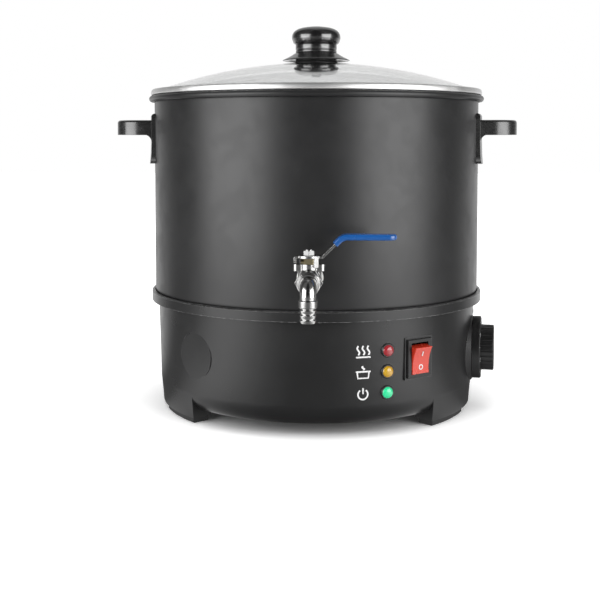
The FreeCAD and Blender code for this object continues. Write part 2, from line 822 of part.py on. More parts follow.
def make_heat_shield():
    rim = collar_bottom_z
    thick = shield_thickness
    pan = lathe((shield_floor_radius, shield_floor_z), (shield_top_radius, rim - thick),
                (shield_rim_radius, rim - thick), (shield_rim_radius, rim),
                (shield_top_radius - thick, rim),
                (shield_floor_radius - thick, shield_floor_z + thick),
                (0, shield_floor_z + thick), (0, shield_floor_z))
    holes = []
    floor_top = shield_floor_z + thick
    for place in element_ends():
        radius = bush_radius - bush_step + 2 * seat_gap
        holes.append(rod(radius, shield_floor_z - 1, floor_top + 1, place.x, place.y))
    for bearing in stud_bearings:
        place = on_circle(stud_circle, bearing)
        holes.append(rod(stud_radius + stud_play, rim - 2 * thick, rim + 1, place.x, place.y))
    lead = on_circle(bulb_offset, dial_bearing)
    holes.append(rod(3 * capillary_radius, shield_floor_z - 1, floor_top + 1, lead.x, lead.y))
    return pan.cut(holes)


def make_element_bushes():
    low = shield_floor_z - bush_drop
    top = low + bush_height
    shoulder = shield_floor_z + shield_thickness
    bushes = []
    for place in element_ends():
        bush = lathe((terminal_radius + seat_gap, low), (bush_radius - bush_step, low),
                     (bush_radius - bush_step, shoulder), (bush_radius, shoulder),
                     (bush_radius, top - bush_step), (bush_radius - bush_step, top),
                     (terminal_radius + seat_gap, top))
        bush.translate(place)
        bushes.append(bush)
    return group(bushes)


def make_pot_studs():
    studs = []
    for bearing in stud_bearings:
        place = on_circle(stud_circle, bearing)
        studs.append(rod(stud_radius, ledge_top_z - stud_length, ledge_top_z, place.x, place.y))
    return group(studs)


def make_stud_nuts():
    top = collar_bottom_z - shield_thickness
    nuts = []
    for bearing in stud_bearings:
        nut = hexagon(nut_across_flats, nut_height, top - nut_height)
        nut = nut.cut(rod(stud_radius + seat_gap, top - nut_height - 1, top + 1))
        nut.translate(on_circle(stud_circle, bearing))
        nuts.append(nut)
    return group(nuts)


def make_thermal_cutout():
    """A round thermal switch that is clamped flat against the heater plate."""
    top = plate_bottom_z
    low = top - cutout_height
    flange_z = top - cutout_flange
    can_radius = cutout_radius - cutout_flange / 2
    can = lathe((0, low), (can_radius, low), (can_radius, flange_z), (cutout_radius, flange_z),
                (cutout_radius, top), (0, top))
    blades = []
    for side in (-1, 1):
        corner = Vector(side * cutout_radius / 2 - blade_thickness / 2, -blade_width / 2,
                        low - cutout_blade_length)
        blades.append(Part.makeBox(blade_thickness, blade_width, cutout_blade_length + 1, corner))
    shape = joined(can, *blades)
    shape.translate(on_circle(cutout_offset, cutout_bearing))
    return shape


def make_terminal_block():
    top = cover_top_z + block_height
    corner = Vector(-block_width / 2, -block_depth / 2, cover_top_z)
    block = Part.makeBox(block_width, block_depth, block_height, corner)
    wells = []
    for step in (-1, 0, 1):
        middle = step * block_pitch
        wells.append(rod(block_well_radius, top - block_well_depth, top + 1, middle, 0))
        corner = Vector(middle - block_wire_width / 2, -block_depth / 2 - 1,
                        cover_top_z + block_wire_height)
        wells.append(Part.makeBox(block_wire_width, block_depth + 2, block_wire_height, corner))
    block = block.cut(wells)
    block.rotate(origin, along_z, block_turn)
    block.translate(on_circle(block_offset, block_bearing))
    return block


# ---- Thermostat and dial --------------------------------------------------------------
def make_thermostat_body():
    near = thermostat_near
    far = boss_inner_distance
    half = thermostat_width / 2
    half_plate = thermostat_plate_height / 2
    half_blade = blade_width / 2
    body = front_block(thermostat_width, near, thermostat_plate_near, dial_z - half, dial_z + half)
    plate = front_block(0.6 * thermostat_width, thermostat_plate_near, far,
                        dial_z - half_plate, dial_z + half_plate)
    bushing = front_rod(bushing_radius, thermostat_plate_near, boss_face_distance, dial_z)
    blades = []
    for side in (-1, 1):
        blades.append(front_block(blade_thickness, near - thermostat_blade_length, near,
                                  dial_z - half_blade, dial_z + half_blade,
                                  middle=side * thermostat_blade_offset))
    shape = joined(body, plate, bushing, *blades)
    bore_near = boss_inner_distance - shaft_in_body - seat_gap
    cuts = [front_rod(shaft_radius + running_gap, bore_near, boss_face_distance + 1, dial_z)]
    for step in (-1, 1):
        cuts.append(front_rod(thermostat_screw_radius + seat_gap, thermostat_plate_near - 1, far + 1,
                              dial_z + step * thermostat_screw_pitch / 2))
    return at_bearing(shape.cut(cuts), dial_bearing)


def make_thermostat_screws():
    near = thermostat_plate_near
    back = near - thermostat_head_height
    tip = near + thermostat_screw_length
    head = thermostat_screw_head
    bevel = thermostat_head_height / 3
    screws = []
    for step in (-1, 1):
        screw = front_lathe(
            dial_z + step * thermostat_screw_pitch / 2, (0, back), (head - bevel, back),
            (head, back + bevel), (head, near), (thermostat_screw_radius, near),
            (thermostat_screw_radius, tip), (0, tip))
        screws.append(at_bearing(screw, dial_bearing))
    return group(screws)


def make_thermostat_bulb():
    """Sensing bulb under the heater plate, with the capillary down to the thermostat."""
    height = plate_bottom_z - bulb_radius
    start = Vector(-bulb_length / 2, -bulb_offset, height)
    bulb = Part.makeCylinder(bulb_radius, bulb_length, start, along_x)
    return at_bearing(joined(bulb, capillary_run(height - bulb_radius / 2)), dial_bearing)


def capillary_run(top):
    """Down through the shield, out towards the wall and down to the thermostat."""
    offset = bulb_offset
    reach = thermostat_plate_near - thermostat_depth / 2
    low = dial_z + thermostat_width / 2
    level = (shield_floor_z + low) / 2
    bend = min(capillary_bend, (shield_floor_z - low) / 2.5, (reach - offset) / 2.5)
    half = bend * math.sqrt(0.5)
    first = Part.Arc(Vector(0, -offset, level + bend),
                     Vector(0, -offset - bend + half, level + bend - half),
                     Vector(0, -offset - bend, level))
    second = Part.Arc(Vector(0, -reach + bend, level),
                      Vector(0, -reach + bend - half, level - bend + half),
                      Vector(0, -reach, level - bend))
    start = Vector(0, -offset, top)
    edges = [Part.LineSegment(start, first.StartPoint).toShape(), first.toShape(),
             Part.LineSegment(first.EndPoint, second.StartPoint).toShape(), second.toShape(),
             Part.LineSegment(second.EndPoint, Vector(0, -reach, low)).toShape()]
    ring = Part.Wire(Part.makeCircle(capillary_radius, start, along_z))
    return Part.Wire(edges).makePipeShell([ring], True, False)


def shaft_end():
    """Distance of the shaft's end from the base's axis."""
    return boss_face_distance + dial_gap + dial_flange_thickness + dial_grip_height - dial_face_cover


def shaft_cutter(far, gap):
    """What the flat takes off the shaft, or leaves standing in the knob's bore."""
    return front_block(2 * shaft_radius + 1, boss_face_distance + dial_gap + dial_wall, far,
                       dial_z + shaft_flat * shaft_radius + gap, dial_z + 2 * shaft_radius)


def make_thermostat_shaft():
    far = shaft_end()
    shaft = front_rod(shaft_radius, boss_inner_distance - shaft_in_body, far, dial_z)
    return at_bearing(shaft.cut(shaft_cutter(far + 1, 0)), dial_bearing)


def make_dial_knob():
    low = boss_face_distance + dial_gap
    step_d = low + dial_flange_thickness
    top = step_d + dial_grip_height
    hub = dial_hub_radius
    inner = dial_flange_radius - dial_wall
    edge = dial_round
    grip_inner = dial_grip_radius - 2 * dial_flute_radius - dial_wall
    body = front_lathe(
        dial_z, (0, low), (hub, low), (hub, top - dial_wall), (grip_inner, top - dial_wall),
        (grip_inner, step_d - dial_wall), (inner, step_d - dial_wall), (inner, low),
        (dial_flange_radius, low), (dial_flange_radius, step_d - edge),
        (dial_flange_radius - edge, step_d), (dial_grip_radius, step_d),
        (dial_grip_radius, top - edge), (dial_grip_radius - edge, top), (0, top))
    flutes = []
    for step in range(dial_flute_count):
        middle = Vector(dial_grip_radius + dial_flute_radius / 3, 0, step_d)
        flute = Part.makeCylinder(dial_flute_radius, dial_grip_height + 1, middle)
        flute.rotate(origin, along_z, step * 360 / dial_flute_count)
        flutes.append(facing_front(flute, dial_z))
    bore_end = shaft_end() + seat_gap
    bore = front_rod(shaft_radius + running_gap, low - 1, bore_end, dial_z)
    bore = bore.cut(shaft_cutter(bore_end + 1, running_gap))
    pointer = front_block(pointer_width, top - pointer_depth, top + 1, dial_z + pointer_start,
                          dial_z + dial_grip_radius)
    return at_bearing(body.cut(flutes + [bore, pointer]), dial_bearing)


# ---- Pilot lamps ----------------------------------------------------------------------
def make_lamp_bezels():
    bore = lamp_barrel_radius - lamp_barrel_wall
    wide = lamp_bezel_radius
    edge = lamp_bezel_thickness / 2
    seat = lamp_lens_radius + seat_gap
    bezels = []
    for height in lamp_heights:
        near = pad_distance(height)
        far = near + lamp_bezel_thickness
        end = near - lamp_barrel_length
        bezel = front_lathe(
            height, (bore, end), (lamp_barrel_radius, end), (lamp_barrel_radius, near),
            (wide, near), (wide, far - edge), (wide - edge, far), (seat, far),
            (seat, far - lamp_lens_seat), (bore, far - lamp_lens_seat))
        bezels.append(at_bearing(bezel, lamp_bearing))
    return group(bezels)


def make_lamp_lens(height):
    near = pad_distance(height) + lamp_bezel_thickness - lamp_lens_seat
    stem = lamp_barrel_radius - lamp_barrel_wall - seat_gap
    end = near - lamp_stem_length
    shoulder = near + lamp_lens_edge
    bulge = (0.72 * lamp_lens_radius, shoulder + 0.68 * lamp_lens_rise)
    lens = front_lathe(
        height, (0, end), (stem, end), (stem, near), (lamp_lens_radius, near),
        (lamp_lens_radius, shoulder), (bulge, (0, shoulder + lamp_lens_rise)))
    return at_bearing(lens, lamp_bearing)


def make_lamp_clips():
    bore = lamp_barrel_radius + seat_gap
    clips = []
    for height in lamp_heights:
        far = wall_radius_at(height) - shell_wall - lamp_clip_gap
        near = far - lamp_clip_thickness
        clip = front_lathe(height, (bore, near), (lamp_clip_radius, near),
                           (lamp_clip_radius, far), (bore, far))
        clips.append(at_bearing(clip, lamp_bearing))
    return group(clips)


# ---- Rocker switch --------------------------------------------------------------------
def make_switch_housing():
    face = switch_pad_distance
    front = face + switch_bezel_thickness
    half = switch_bezel_height / 2
    bezel = front_block(switch_bezel_width, face, front, switch_z - half, switch_z + half)
    outer_edges = [edge for edge in bezel.Edges if edge.CenterOfMass.y < 0.01 - front]
    bezel = bezel.makeChamfer(switch_chamfer, outer_edges)
    back = face - switch_body_depth
    width = switch_opening_width + 2 * switch_body_wall
    half = switch_opening_height / 2 + switch_body_end_wall
    body = front_block(width, back, face + switch_chamfer, switch_z - half, switch_z + half)
    half = switch_opening_height / 2
    cavity = front_block(switch_opening_width, back + switch_floor, front + 1,
                         switch_z - half, switch_z + half)
    reach = switch_opening_width / 2 + switch_pin_depth
    start = Vector(-reach, -paddle_pivot_distance, switch_z)
    pins = Part.makeCylinder(paddle_pin_radius + running_gap, 2 * reach, start, along_x)
    return at_bearing(joined(bezel, body).cut([cavity, pins]), switch_bearing)


def make_switch_terminals():
    far = switch_pad_distance - switch_body_depth
    blades = []
    for step in range(switch_blade_count):
        middle = switch_z + (step - (switch_blade_count - 1) / 2) * switch_blade_pitch
        blade = front_block(switch_blade_width, far - switch_blade_length, far,
                            middle - blade_thickness / 2, middle + blade_thickness / 2)
        blades.append(at_bearing(blade, switch_bearing))
    return group(blades)


def make_switch_paddle():
    """The rocker, drawn about its pivot and tilted to its OFF position, with the top out."""
    width = switch_opening_width - 2 * moving_gap
    high = paddle_half_height
    crest = paddle_crest
    shoulder = crest - 1.7
    side = outline(
        (-5, -6), (0, 1 - high), (shoulder, 0.6 - high), (crest, -high),
        ((crest - paddle_hollow, 0), (crest, high)), (shoulder, high - 0.6), (0, high - 1), (-5, 6))
    rocker = side.extrude(Vector(0, width, 0))
    rocker.translate(Vector(0, -width / 2, 0))
    rim = [edge for edge in rocker.Edges
           if edge.BoundBox.XMin > crest - paddle_hollow - paddle_edge and edge.Length > 5]
    rocker = rocker.makeFillet(paddle_edge, rim)
    reach = switch_opening_width / 2 + switch_pin_depth - moving_gap
    pins = Part.makeCylinder(paddle_pin_radius, 2 * reach, Vector(0, -reach, 0), along_y)
    rocker = joined(rocker, pins)
    rocker.rotate(origin, along_z, -90)
    rocker.rotate(origin, along_x, paddle_tilt)
    rocker.translate(Vector(0, -paddle_pivot_distance, switch_z))
    return at_bearing(rocker, switch_bearing)


# ---- Cable gland ----------------------------------------------------------------------
def make_cable_gland():
    near = pad_distance(gland_z)
    face = near + gland_flange_thickness
    back = near - gland_barrel_length
    nose = gland_bore + gland_nose_wall
    tip = face + gland_nose_length
    shape = front_lathe(
        gland_z, (gland_bore, back), (gland_barrel_radius - 1, back),
        (gland_barrel_radius, back + 1), (gland_barrel_radius, near), (gland_radius, near),
        (gland_radius, face - 1), (gland_radius - 1, face), (nose + 0.6, face), (nose, tip),
        (gland_bore, tip))
    return at_bearing(shape, gland_bearing)


# ---- Handles --------------------------------------------------------------------------
def handle_plate():
    """The curved plate against the pot, a little thicker at its lower edge."""
    near = pot_radius + seat_gap
    far = pot_radius + handle_plate_thickness
    low = handle_plate_low_z
    high = handle_plate_high_z
    half_span = math.degrees(math.asin(handle_plate_half_width / pot_radius)) + 1
    edge = handle_plate_round
    plate = sector((near, low), (far + handle_plate_foot, low),
                   (far + handle_plate_foot / 3, low + 0.2 * handle_plate_height),
                   (far, low + 0.5 * handle_plate_height), (far, high - edge),
                   ((far - 0.35 * edge, high - 0.3 * edge), (far - edge, high)), (near, high),
                   first=-half_span, last=half_span)
    depth = 2 * handle_reach
    corner = Vector(-handle_plate_half_width, -pot_radius - depth / 2, low)
    window = Part.makeBox(2 * handle_plate_half_width, depth, high - low, corner)
    along = [edge for edge in window.Edges if abs(edge.BoundBox.YLength - depth) < 0.01]
    return plate.common(window.makeFillet(handle_plate_corner, along))


def grip_outline(shrink, height):
    """Plan of the grip: straight sides that run through round corners into a bulging front."""
    half = handle_grip_half_width - shrink
    front = shrink - pot_radius - handle_reach
    corner = handle_grip_corner - shrink
    wide = handle_grip_front_radius - shrink
    wide_y = front + wide
    corner_x = half - corner
    corner_y = wide_y - math.sqrt((wide - corner) ** 2 - corner_x ** 2)
    last = math.acos(corner_x / (wide - corner))
    root = through - pot_radius

    def corner_point(angle, side):
        across = corner_x + corner * math.cos(angle)
        return Vector(side * across, corner_y - corner * math.sin(angle), height)

    points = {}
    for side in (1, -1):
        points[side] = [corner_point(angle, side) for angle in (0, last / 2, last)]
    edges = [
        Part.LineSegment(Vector(half, root, height), points[1][0]),
        Part.Arc(*points[1]),
        Part.Arc(points[1][2], Vector(0, front, height), points[-1][2]),
        Part.Arc(*reversed(points[-1])),
        Part.LineSegment(points[-1][0], Vector(-half, root, height)),
        Part.LineSegment(Vector(-half, root, height), Vector(half, root, height))]
    return Part.Face(Part.Wire([edge.toShape() for edge in edges]))


def handle_gussets():
    """Small concave webs where the grip's side walls run into the plate."""
    plate_front = pot_radius + handle_plate_thickness
    near = math.sqrt(plate_front ** 2 - handle_grip_half_width ** 2) - 1
    far = near + 1 + handle_gusset
    low = handle_grip_low_z - handle_gusset
    middle = on_arc((far, low), handle_gusset, 135)
    web = outline((near, low), (near + 1, low), (middle, (far, handle_grip_low_z)),
                  (far, handle_grip_low_z + 1), (near, handle_grip_low_z + 1))
    web = web.extrude(Vector(0, handle_wall, 0))
    web.rotate(origin, along_z, -90)
    webs = []
    for left in (-handle_grip_half_width, handle_grip_half_width - handle_wall):
        placed = web.copy()
        placed.translate(Vector(left, 0, 0))
        webs.append(placed)
    return webs


def make_handle(side):
    """One side handle: plate, hollow grip and two screw bosses, as one moulding."""
    depth = handle_grip_height
    grip = grip_outline(0, handle_grip_low_z).extrude(Vector(0, 0, depth))
    rim = [edge for edge in grip.Edges if edge.BoundBox.ZMin > handle_grip_high_z - 0.01
           and edge.BoundBox.YMin < through - pot_radius - 1]
    grip = grip.makeFillet(handle_edge_radius, rim)
    pocket = grip_outline(handle_wall, handle_grip_low_z - 1)
    pocket = pocket.extrude(Vector(0, 0, depth - handle_wall + 1))
    body = joined(grip.cut(pocket), *handle_gussets())
    inside = rod(pot_radius + handle_plate_thickness - 1, handle_plate_low_z, handle_plate_high_z)
    body = body.cut(inside)
    near = pot_radius + handle_plate_thickness / 2
    bosses = []
    bores = []
    for turn in (-handle_screw_turn, handle_screw_turn):
        boss = front_rod(handle_boss_radius, near, near + handle_screw_length, handle_screw_z)
        bore = front_rod(handle_screw_radius + seat_gap, pot_inner_radius - through,
                         pot_inner_radius + handle_screw_length + seat_gap, handle_screw_z)
        bosses.append(at_bearing(boss, turn))
        bores.append(at_bearing(bore, turn))
    handle = joined(body, handle_plate(), *bosses).cut(bores)
    return at_bearing(handle, side)


def pan_head(radius, height, seat):
    """Outline points of a round-topped screw head below its seat, from the axis outwards."""
    low = seat - height
    return [(0, low), (0.6 * radius, low),
            ((0.9 * radius, seat - 0.65 * height), (radius, seat - 0.2 * height)), (radius, seat)]


def make_handle_screws():
    seat = pot_inner_radius - screw_seat_gap
    screw = front_lathe(
        handle_screw_z, *pan_head(screw_head_radius, screw_head_height, seat),
        (handle_screw_radius, seat), (handle_screw_radius, seat + handle_screw_length),
        (0, seat + handle_screw_length))
    screws = []
    for side in (90, -90):
        for turn in (-handle_screw_turn, handle_screw_turn):
            screws.append(at_bearing(screw, side + turn))
    return group(screws)


# ---- Ball valve -----------------------------------------------------------------------
def inner_washer_far():
    """Distance of the inner washer's flat seat, just inside the pot's curved wall."""
    return math.sqrt(pot_inner_radius ** 2 - valve_washer_radius ** 2) - seat_gap / 2


def outer_washer_near():
    return pot_radius + seat_gap / 2


def make_valve_body():
    hex_near = outer_washer_near() + valve_washer_thickness
    centre = valve_stem_distance
    half = chamber_half_length
    end = inner_washer_far() - valve_washer_thickness - lock_nut_depth - valve_shank_end
    shank = valve_shank_radius
    neck = shank + valve_neck_step
    big = valve_chamber_radius
    edge = valve_edge
    turned = front_lathe(
        valve_z, (0, end), (shank - edge, end), (shank, end + edge), (shank, hex_near + edge),
        (neck, hex_near + edge), (neck, centre - half - 2 * edge),
        ((big - edge / 2, centre - half + 3 * edge), (big, centre)),
        (big - edge / 2, centre + half), (0, centre + half))
    nut = facing_front(hexagon(valve_hex_flats, valve_hex_depth, hex_near, turn=30), valve_z)
    end_near = centre + half - valve_end_depth
    end_nut = facing_front(hexagon(valve_end_flats, valve_end_depth, end_near), valve_z)
    bonnet = rod(bonnet_radius, valve_z, bonnet_top_z, 0, -centre)
    ears_low = bonnet_top_z - ear_thickness
    middle = ear_half_span - ear_half_depth
    ears = [front_block(2 * middle, centre - ear_half_depth, centre + ear_half_depth,
                        ears_low, bonnet_top_z)]
    for x in (-middle, middle):
        ears.append(rod(ear_half_depth, ears_low, bonnet_top_z, x, -centre))
    body = joined(turned, nut, end_nut, bonnet, joined(*ears))
    passage = front_rod(valve_bore, end - 1, centre, valve_z)
    chamber = front_rod(seat_outer_radius + seat_gap, centre - half, centre + half + 1, valve_z)
    stem_hole = rod(stem_radius + running_gap, valve_z, bonnet_top_z + 1, 0, -centre)
    return body.cut([passage, chamber, stem_hole])


def make_valve_washers():
    washers = []
    for near in (inner_washer_far() - valve_washer_thickness, outer_washer_near()):
        far = near + valve_washer_thickness
        bore = front_rod(valve_shank_radius + seat_gap, near - 1, far + 1, valve_z)
        washers.append(front_rod(valve_washer_radius, near, far, valve_z).cut(bore))
    return group(washers)


def make_lock_nut():
    far = inner_washer_far() - valve_washer_thickness
    near = far - lock_nut_depth
    flat = lock_nut_flats / 2
    corner = flat / math.cos(math.radians(30)) + 0.1
    nut = facing_front(hexagon(lock_nut_flats, lock_nut_depth, near, turn=30), valve_z)
    bevel = front_lathe(valve_z, (0, near), (flat, near), (corner, near + corner - flat),
                        (corner, far), (0, far))
    bore = front_rod(valve_shank_radius + seat_gap, near - 1, far + 1, valve_z)
    return nut.common(bevel).cut(bore)


def make_valve_seats():
    centre = valve_stem_distance
    reach = chamber_half_length - seat_gap
    hollow = Part.makeSphere(ball_radius + running_gap, Vector(0, -centre, valve_z))
    seats = []
    for side in (-1, 1):
        near, far = sorted((centre + side * seat_inner_distance, centre + side * reach))
        ring = front_rod(seat_outer_radius, near, far, valve_z)
        bore = front_rod(valve_bore, near - 1, far + 1, valve_z)
        seats.append(ring.cut([bore, hollow]))
    return group(seats)


def make_valve_ball():
    """The ball, closed: its bore lies across the flow."""
    centre = Vector(0, -valve_stem_distance, valve_z)
    ball = Part.makeSphere(ball_radius, centre)
    bore = Part.makeCylinder(valve_bore, 4 * ball_radius, centre - Vector(2 * ball_radius, 0, 0), along_x)
    slot_low = valve_z + ball_radius - ball_slot_depth
    slot = Part.makeBox(4 * ball_radius, ball_slot_width, 2 * ball_slot_depth,
                        Vector(-2 * ball_radius, centre.y - ball_slot_width / 2, slot_low))
    return ball.cut([bore, slot])


def make_valve_stem():
    """The stem: a tang below for the ball's slot, and two flats above for the lever."""
    centre = valve_stem_distance
    tang_low = valve_z + ball_radius - ball_slot_depth + seat_gap
    round_low = valve_z + ball_radius + seat_gap
    tang = ball_slot_width / 2 - seat_gap
    flats = stem_flat * stem_radius
    flats_low = lever_low_z - seat_gap
    flats_height = lever_thickness + 2 * seat_gap
    wide = 4 * stem_radius
    cuts = []
    for half, low, height in ((tang, tang_low - 1, round_low - tang_low + 1),
                              (flats, flats_low, flats_height)):
        for near in (half - centre, -half - wide - centre):
            cuts.append(Part.makeBox(wide, wide, height, Vector(-wide / 2, near, low)))
    return rod(stem_radius, tang_low, stem_top_z, 0, -centre).cut(cuts)


def make_gland_nut():
    nut = hexagon(gland_nut_flats, gland_nut_height, bonnet_top_z)
    nut = nut.cut(rod(stem_radius + running_gap, bonnet_top_z - 1, gland_nut_top_z + 1))
    nut.translate(Vector(0, -valve_stem_distance, 0))
    return nut


def lever_path():
    """Corner points of the lever's middle line, in its own upright plane."""
    low = lever_low_z + lever_thickness / 2
    rise = lever_high_z - low
    run = rise / math.tan(math.radians(lever_slope))
    return (lever_rise_start, low), (lever_rise_start + run, lever_high_z), (lever_reach, lever_high_z)


def bent_strip(first, corner, last, half_thickness, half_width):
    """A flat bar along two straight runs with one round bend, seen from the side."""
    slope = math.radians(lever_slope)
    set_back = lever_bend_radius * math.tan(slope / 2)
    bend_middle = (corner[0] + set_back, corner[1] - lever_bend_radius)
    normal = (-math.sin(slope), math.cos(slope))

    def beside(point, offset):
        return (point[0] + normal[0] * offset, point[1] + normal[1] * offset)

    half = half_thickness
    outer = lever_bend_radius + half
    inner = lever_bend_radius - half
    start_angle = 90 + lever_slope
    mid_angle = 90 + lever_slope / 2
    side = outline(
        beside(first, -half), beside(first, half), on_arc(bend_middle, outer, start_angle),
        (on_arc(bend_middle, outer, mid_angle), on_arc(bend_middle, outer, 90)),
        (last[0], last[1] + half), (last[0], last[1] - half), on_arc(bend_middle, inner, 90),
        (on_arc(bend_middle, inner, mid_angle), on_arc(bend_middle, inner, start_angle)))
    bar = side.extrude(Vector(0, 2 * half_width, 0))
    bar.translate(Vector(0, -half_width, 0))
    return bar


def rounded_plan(reach, half_width):
    """A tall bar with a half-round end, to trim a strip in plan."""
    high = lever_high_z + lever_bend_radius
    box = Part.makeBox(reach - half_width, 2 * half_width, high, Vector(0, -half_width, 0))
    return joined(box, rod(half_width, 0, high, reach - half_width, 0))


def make_lever():
    first, corner, last = lever_path()
    half = lever_thickness / 2
    reach = lever_reach - sleeve_thickness
    top = lever_low_z + lever_thickness
    strip = bent_strip(first, corner, (reach, last[1]), half, lever_half_width)
    strip = strip.common(rounded_plan(reach, lever_half_width))
    flat = Part.makeBox(lever_rise_start + half, 2 * lever_half_width, lever_thickness,
                        Vector(0, -lever_half_width, lever_low_z))
    flat = flat.cut(outside_of_strip(first, half))
    tab_near = lever_hub_radius - lever_thickness
    tab = front_block(2 * lever_tab_half_width, tab_near, lever_hub_radius,
                      lever_low_z - lever_tab_drop, lever_low_z + half)
    tabs = [at_bearing(tab, lever_tab_bearing + turn) for turn in (0, 180)]
    lever = joined(rod(lever_hub_radius, lever_low_z, top), flat, strip, lever_shoulder(), *tabs)
    hole = rod(stem_radius + running_gap, lever_low_z - 1, top + 1)
    flats = stem_flat * stem_radius + running_gap
    corner = Vector(-lever_hub_radius, -flats, lever_low_z - 1)
    between = Part.makeBox(2 * lever_hub_radius, 2 * flats, lever_thickness + 2, corner)
    lever = lever.cut(hole.common(between))
    lever.translate(Vector(0, -valve_stem_distance, 0))
    return lever


def lever_shoulder():
    """The bent edge on the side away from the lever, which clears the ears."""
    low = lever_low_z
    top = low + lever_thickness
    bend = lever_shoulder_bend
    far = -lever_shoulder_reach
    bend_middle = (far + bend, top - bend)
    side = outline(
        (0, low), (0, top), on_arc(bend_middle, bend, 90),
        (on_arc(bend_middle, bend, 135), on_arc(bend_middle, bend, 180)),
        (far, low - lever_shoulder_drop), (far + lever_thickness, low - lever_shoulder_drop),
        (far + lever_thickness, low))
    plate = side.extrude(Vector(0, 2 * lever_half_width, 0))
    plate.translate(Vector(0, -lever_half_width, 0))
    return plate


def outside_of_strip(first, half):
    """What lies beyond the mitre between the lever's flat root and its rising part."""
    angle = math.radians(lever_slope / 2)
    height = 4 * half
    lean = height * math.tan(angle)
    far = first[0] + lever_reach
    beyond = outline((first[0] + lean, first[1] - height), (far, first[1] - height),
                     (far, first[1] + height), (first[0] - lean, first[1] + height))
    beyond = beyond.extrude(Vector(0, 4 * lever_half_width, 0))
    beyond.translate(Vector(0, -2 * lever_half_width, 0))
    return beyond


def make_lever_sleeve():
    """The dipped plastic sleeve over the lever's outer part."""
    first, corner, last = lever_path()
    slope = math.radians(lever_slope)
    start = (sleeve_start, first[1] + (sleeve_start - first[0]) * math.tan(slope))
    half = lever_thickness / 2
    outside = bent_strip(start, corner, last, half + sleeve_thickness, sleeve_half_width)
    outside = outside.common(rounded_plan(lever_reach, sleeve_half_width))
    edges = []
    for edge in outside.Edges:
        box = edge.BoundBox
        at_side = abs(abs(edge.CenterOfMass.y) - sleeve_half_width) < 0.01
        at_end = box.XMin > lever_reach - sleeve_half_width - 0.1
        if box.XLength > 1 and at_side:
            edges.append(edge)
        elif at_end and box.ZLength < 0.01 and box.YLength > 1:
            edges.append(edge)
    outside = outside.makeFillet(sleeve_round, edges)
    reach = lever_reach - sleeve_thickness + sleeve_fit
    half_width = lever_half_width + sleeve_fit
    inside = bent_strip(first, corner, (reach, last[1]), half + sleeve_fit, half_width)
    inside = inside.common(rounded_plan(reach, half_width))
    sleeve = outside.cut(inside)
    sleeve.translate(Vector(0, -valve_stem_distance, 0))
    return sleeve


def make_stem_nut():
    top = stem_nut_low_z + stem_nut_height
    nut = hexagon(stem_nut_flats, stem_nut_height, stem_nut_low_z, turn=30)
    flat = stem_nut_flats / 2
    corner = flat / math.cos(math.radians(30)) + 0.1
    dome = lathe((0, stem_nut_low_z), (corner, stem_nut_low_z), (corner, top + flat - corner),
                 (flat, top), (0, top))
    nut = nut.common(dome).cut(rod(stem_radius + seat_gap, stem_nut_low_z - 1, top + 1))
    nut.translate(Vector(0, -valve_stem_distance, 0))
    return nut


def make_valve_spout():
    """End cap, elbow and hose barb, cast and turned as one piece."""
    near = valve_stem_distance + chamber_half_length
    cap_far = near + end_cap_depth
    step_far = cap_far + end_step_depth
    bend_start = spout_distance - spout_bend_radius
    bend_z = valve_z - spout_bend_radius
    edge = valve_edge
    cap = front_lathe(
        valve_z, (0, near), (end_cap_radius - edge, near), (end_cap_radius, near + edge),
        (end_cap_radius, cap_far - edge), (end_cap_radius - edge, cap_far),
        (end_step_radius, cap_far), (end_step_radius, step_far - edge / 2),
        (end_step_radius - edge / 2, step_far), (0, step_far))
    hinge = Vector(0, -bend_start, bend_z)
    straight = (front_rod(spout_radius, near + 1, bend_start, valve_z),
                front_rod(valve_bore, near - 1, bend_start, valve_z))
    elbows = []
    drops = []
    for radius, low in ((spout_radius, hose_collar_high_z - hose_collar_chamfer),
                        (valve_bore, spout_low_z - 1)):
        ring = Part.Wire(Part.makeCircle(radius, Vector(0, -bend_start, valve_z), along_y))
        elbows.append(Part.Face(ring).revolve(hinge, along_x, 90))
        drops.append(rod(radius, low, bend_z, 0, -spout_distance))
    body = joined(cap, straight[0], elbows[0], drops[0], hose_barb())
    return body.cut([straight[1], elbows[1], drops[1]])


def hose_barb():
    wide = hose_collar_radius
    edge = hose_collar_chamfer
    points = [(0, hose_collar_high_z), (wide - edge, hose_collar_high_z),
              (wide, hose_collar_high_z - edge), (wide, hose_collar_low_z + edge),
              (wide - edge, hose_collar_low_z)]
    pitch = (hose_collar_low_z - spout_low_z) / barb_count
    for step in range(barb_count):
        top = hose_collar_low_z - step * pitch
        points.append((barb_root_radius, top))
        points.append((barb_root_radius, top - 0.25 * pitch))
        points.append((barb_tip_radius, top - 0.4 * pitch))
    points.append((barb_root_radius, spout_low_z))
    points.append((0, spout_low_z))
    barb = lathe(*points)
    barb.translate(Vector(0, -spout_distance, 0))
    return barb


# ---- Lid ------------------------------------------------------------------------------
def dome_arc(from_radius, to_radius, centre_z, sphere):
    """Middle and end point of the dome's arc between two radii."""
    middle = (from_radius + to_radius) / 2
    return ((middle, centre_z + math.sqrt(sphere ** 2 - middle ** 2)),
            (to_radius, centre_z + math.sqrt(sphere ** 2 - to_radius ** 2)))


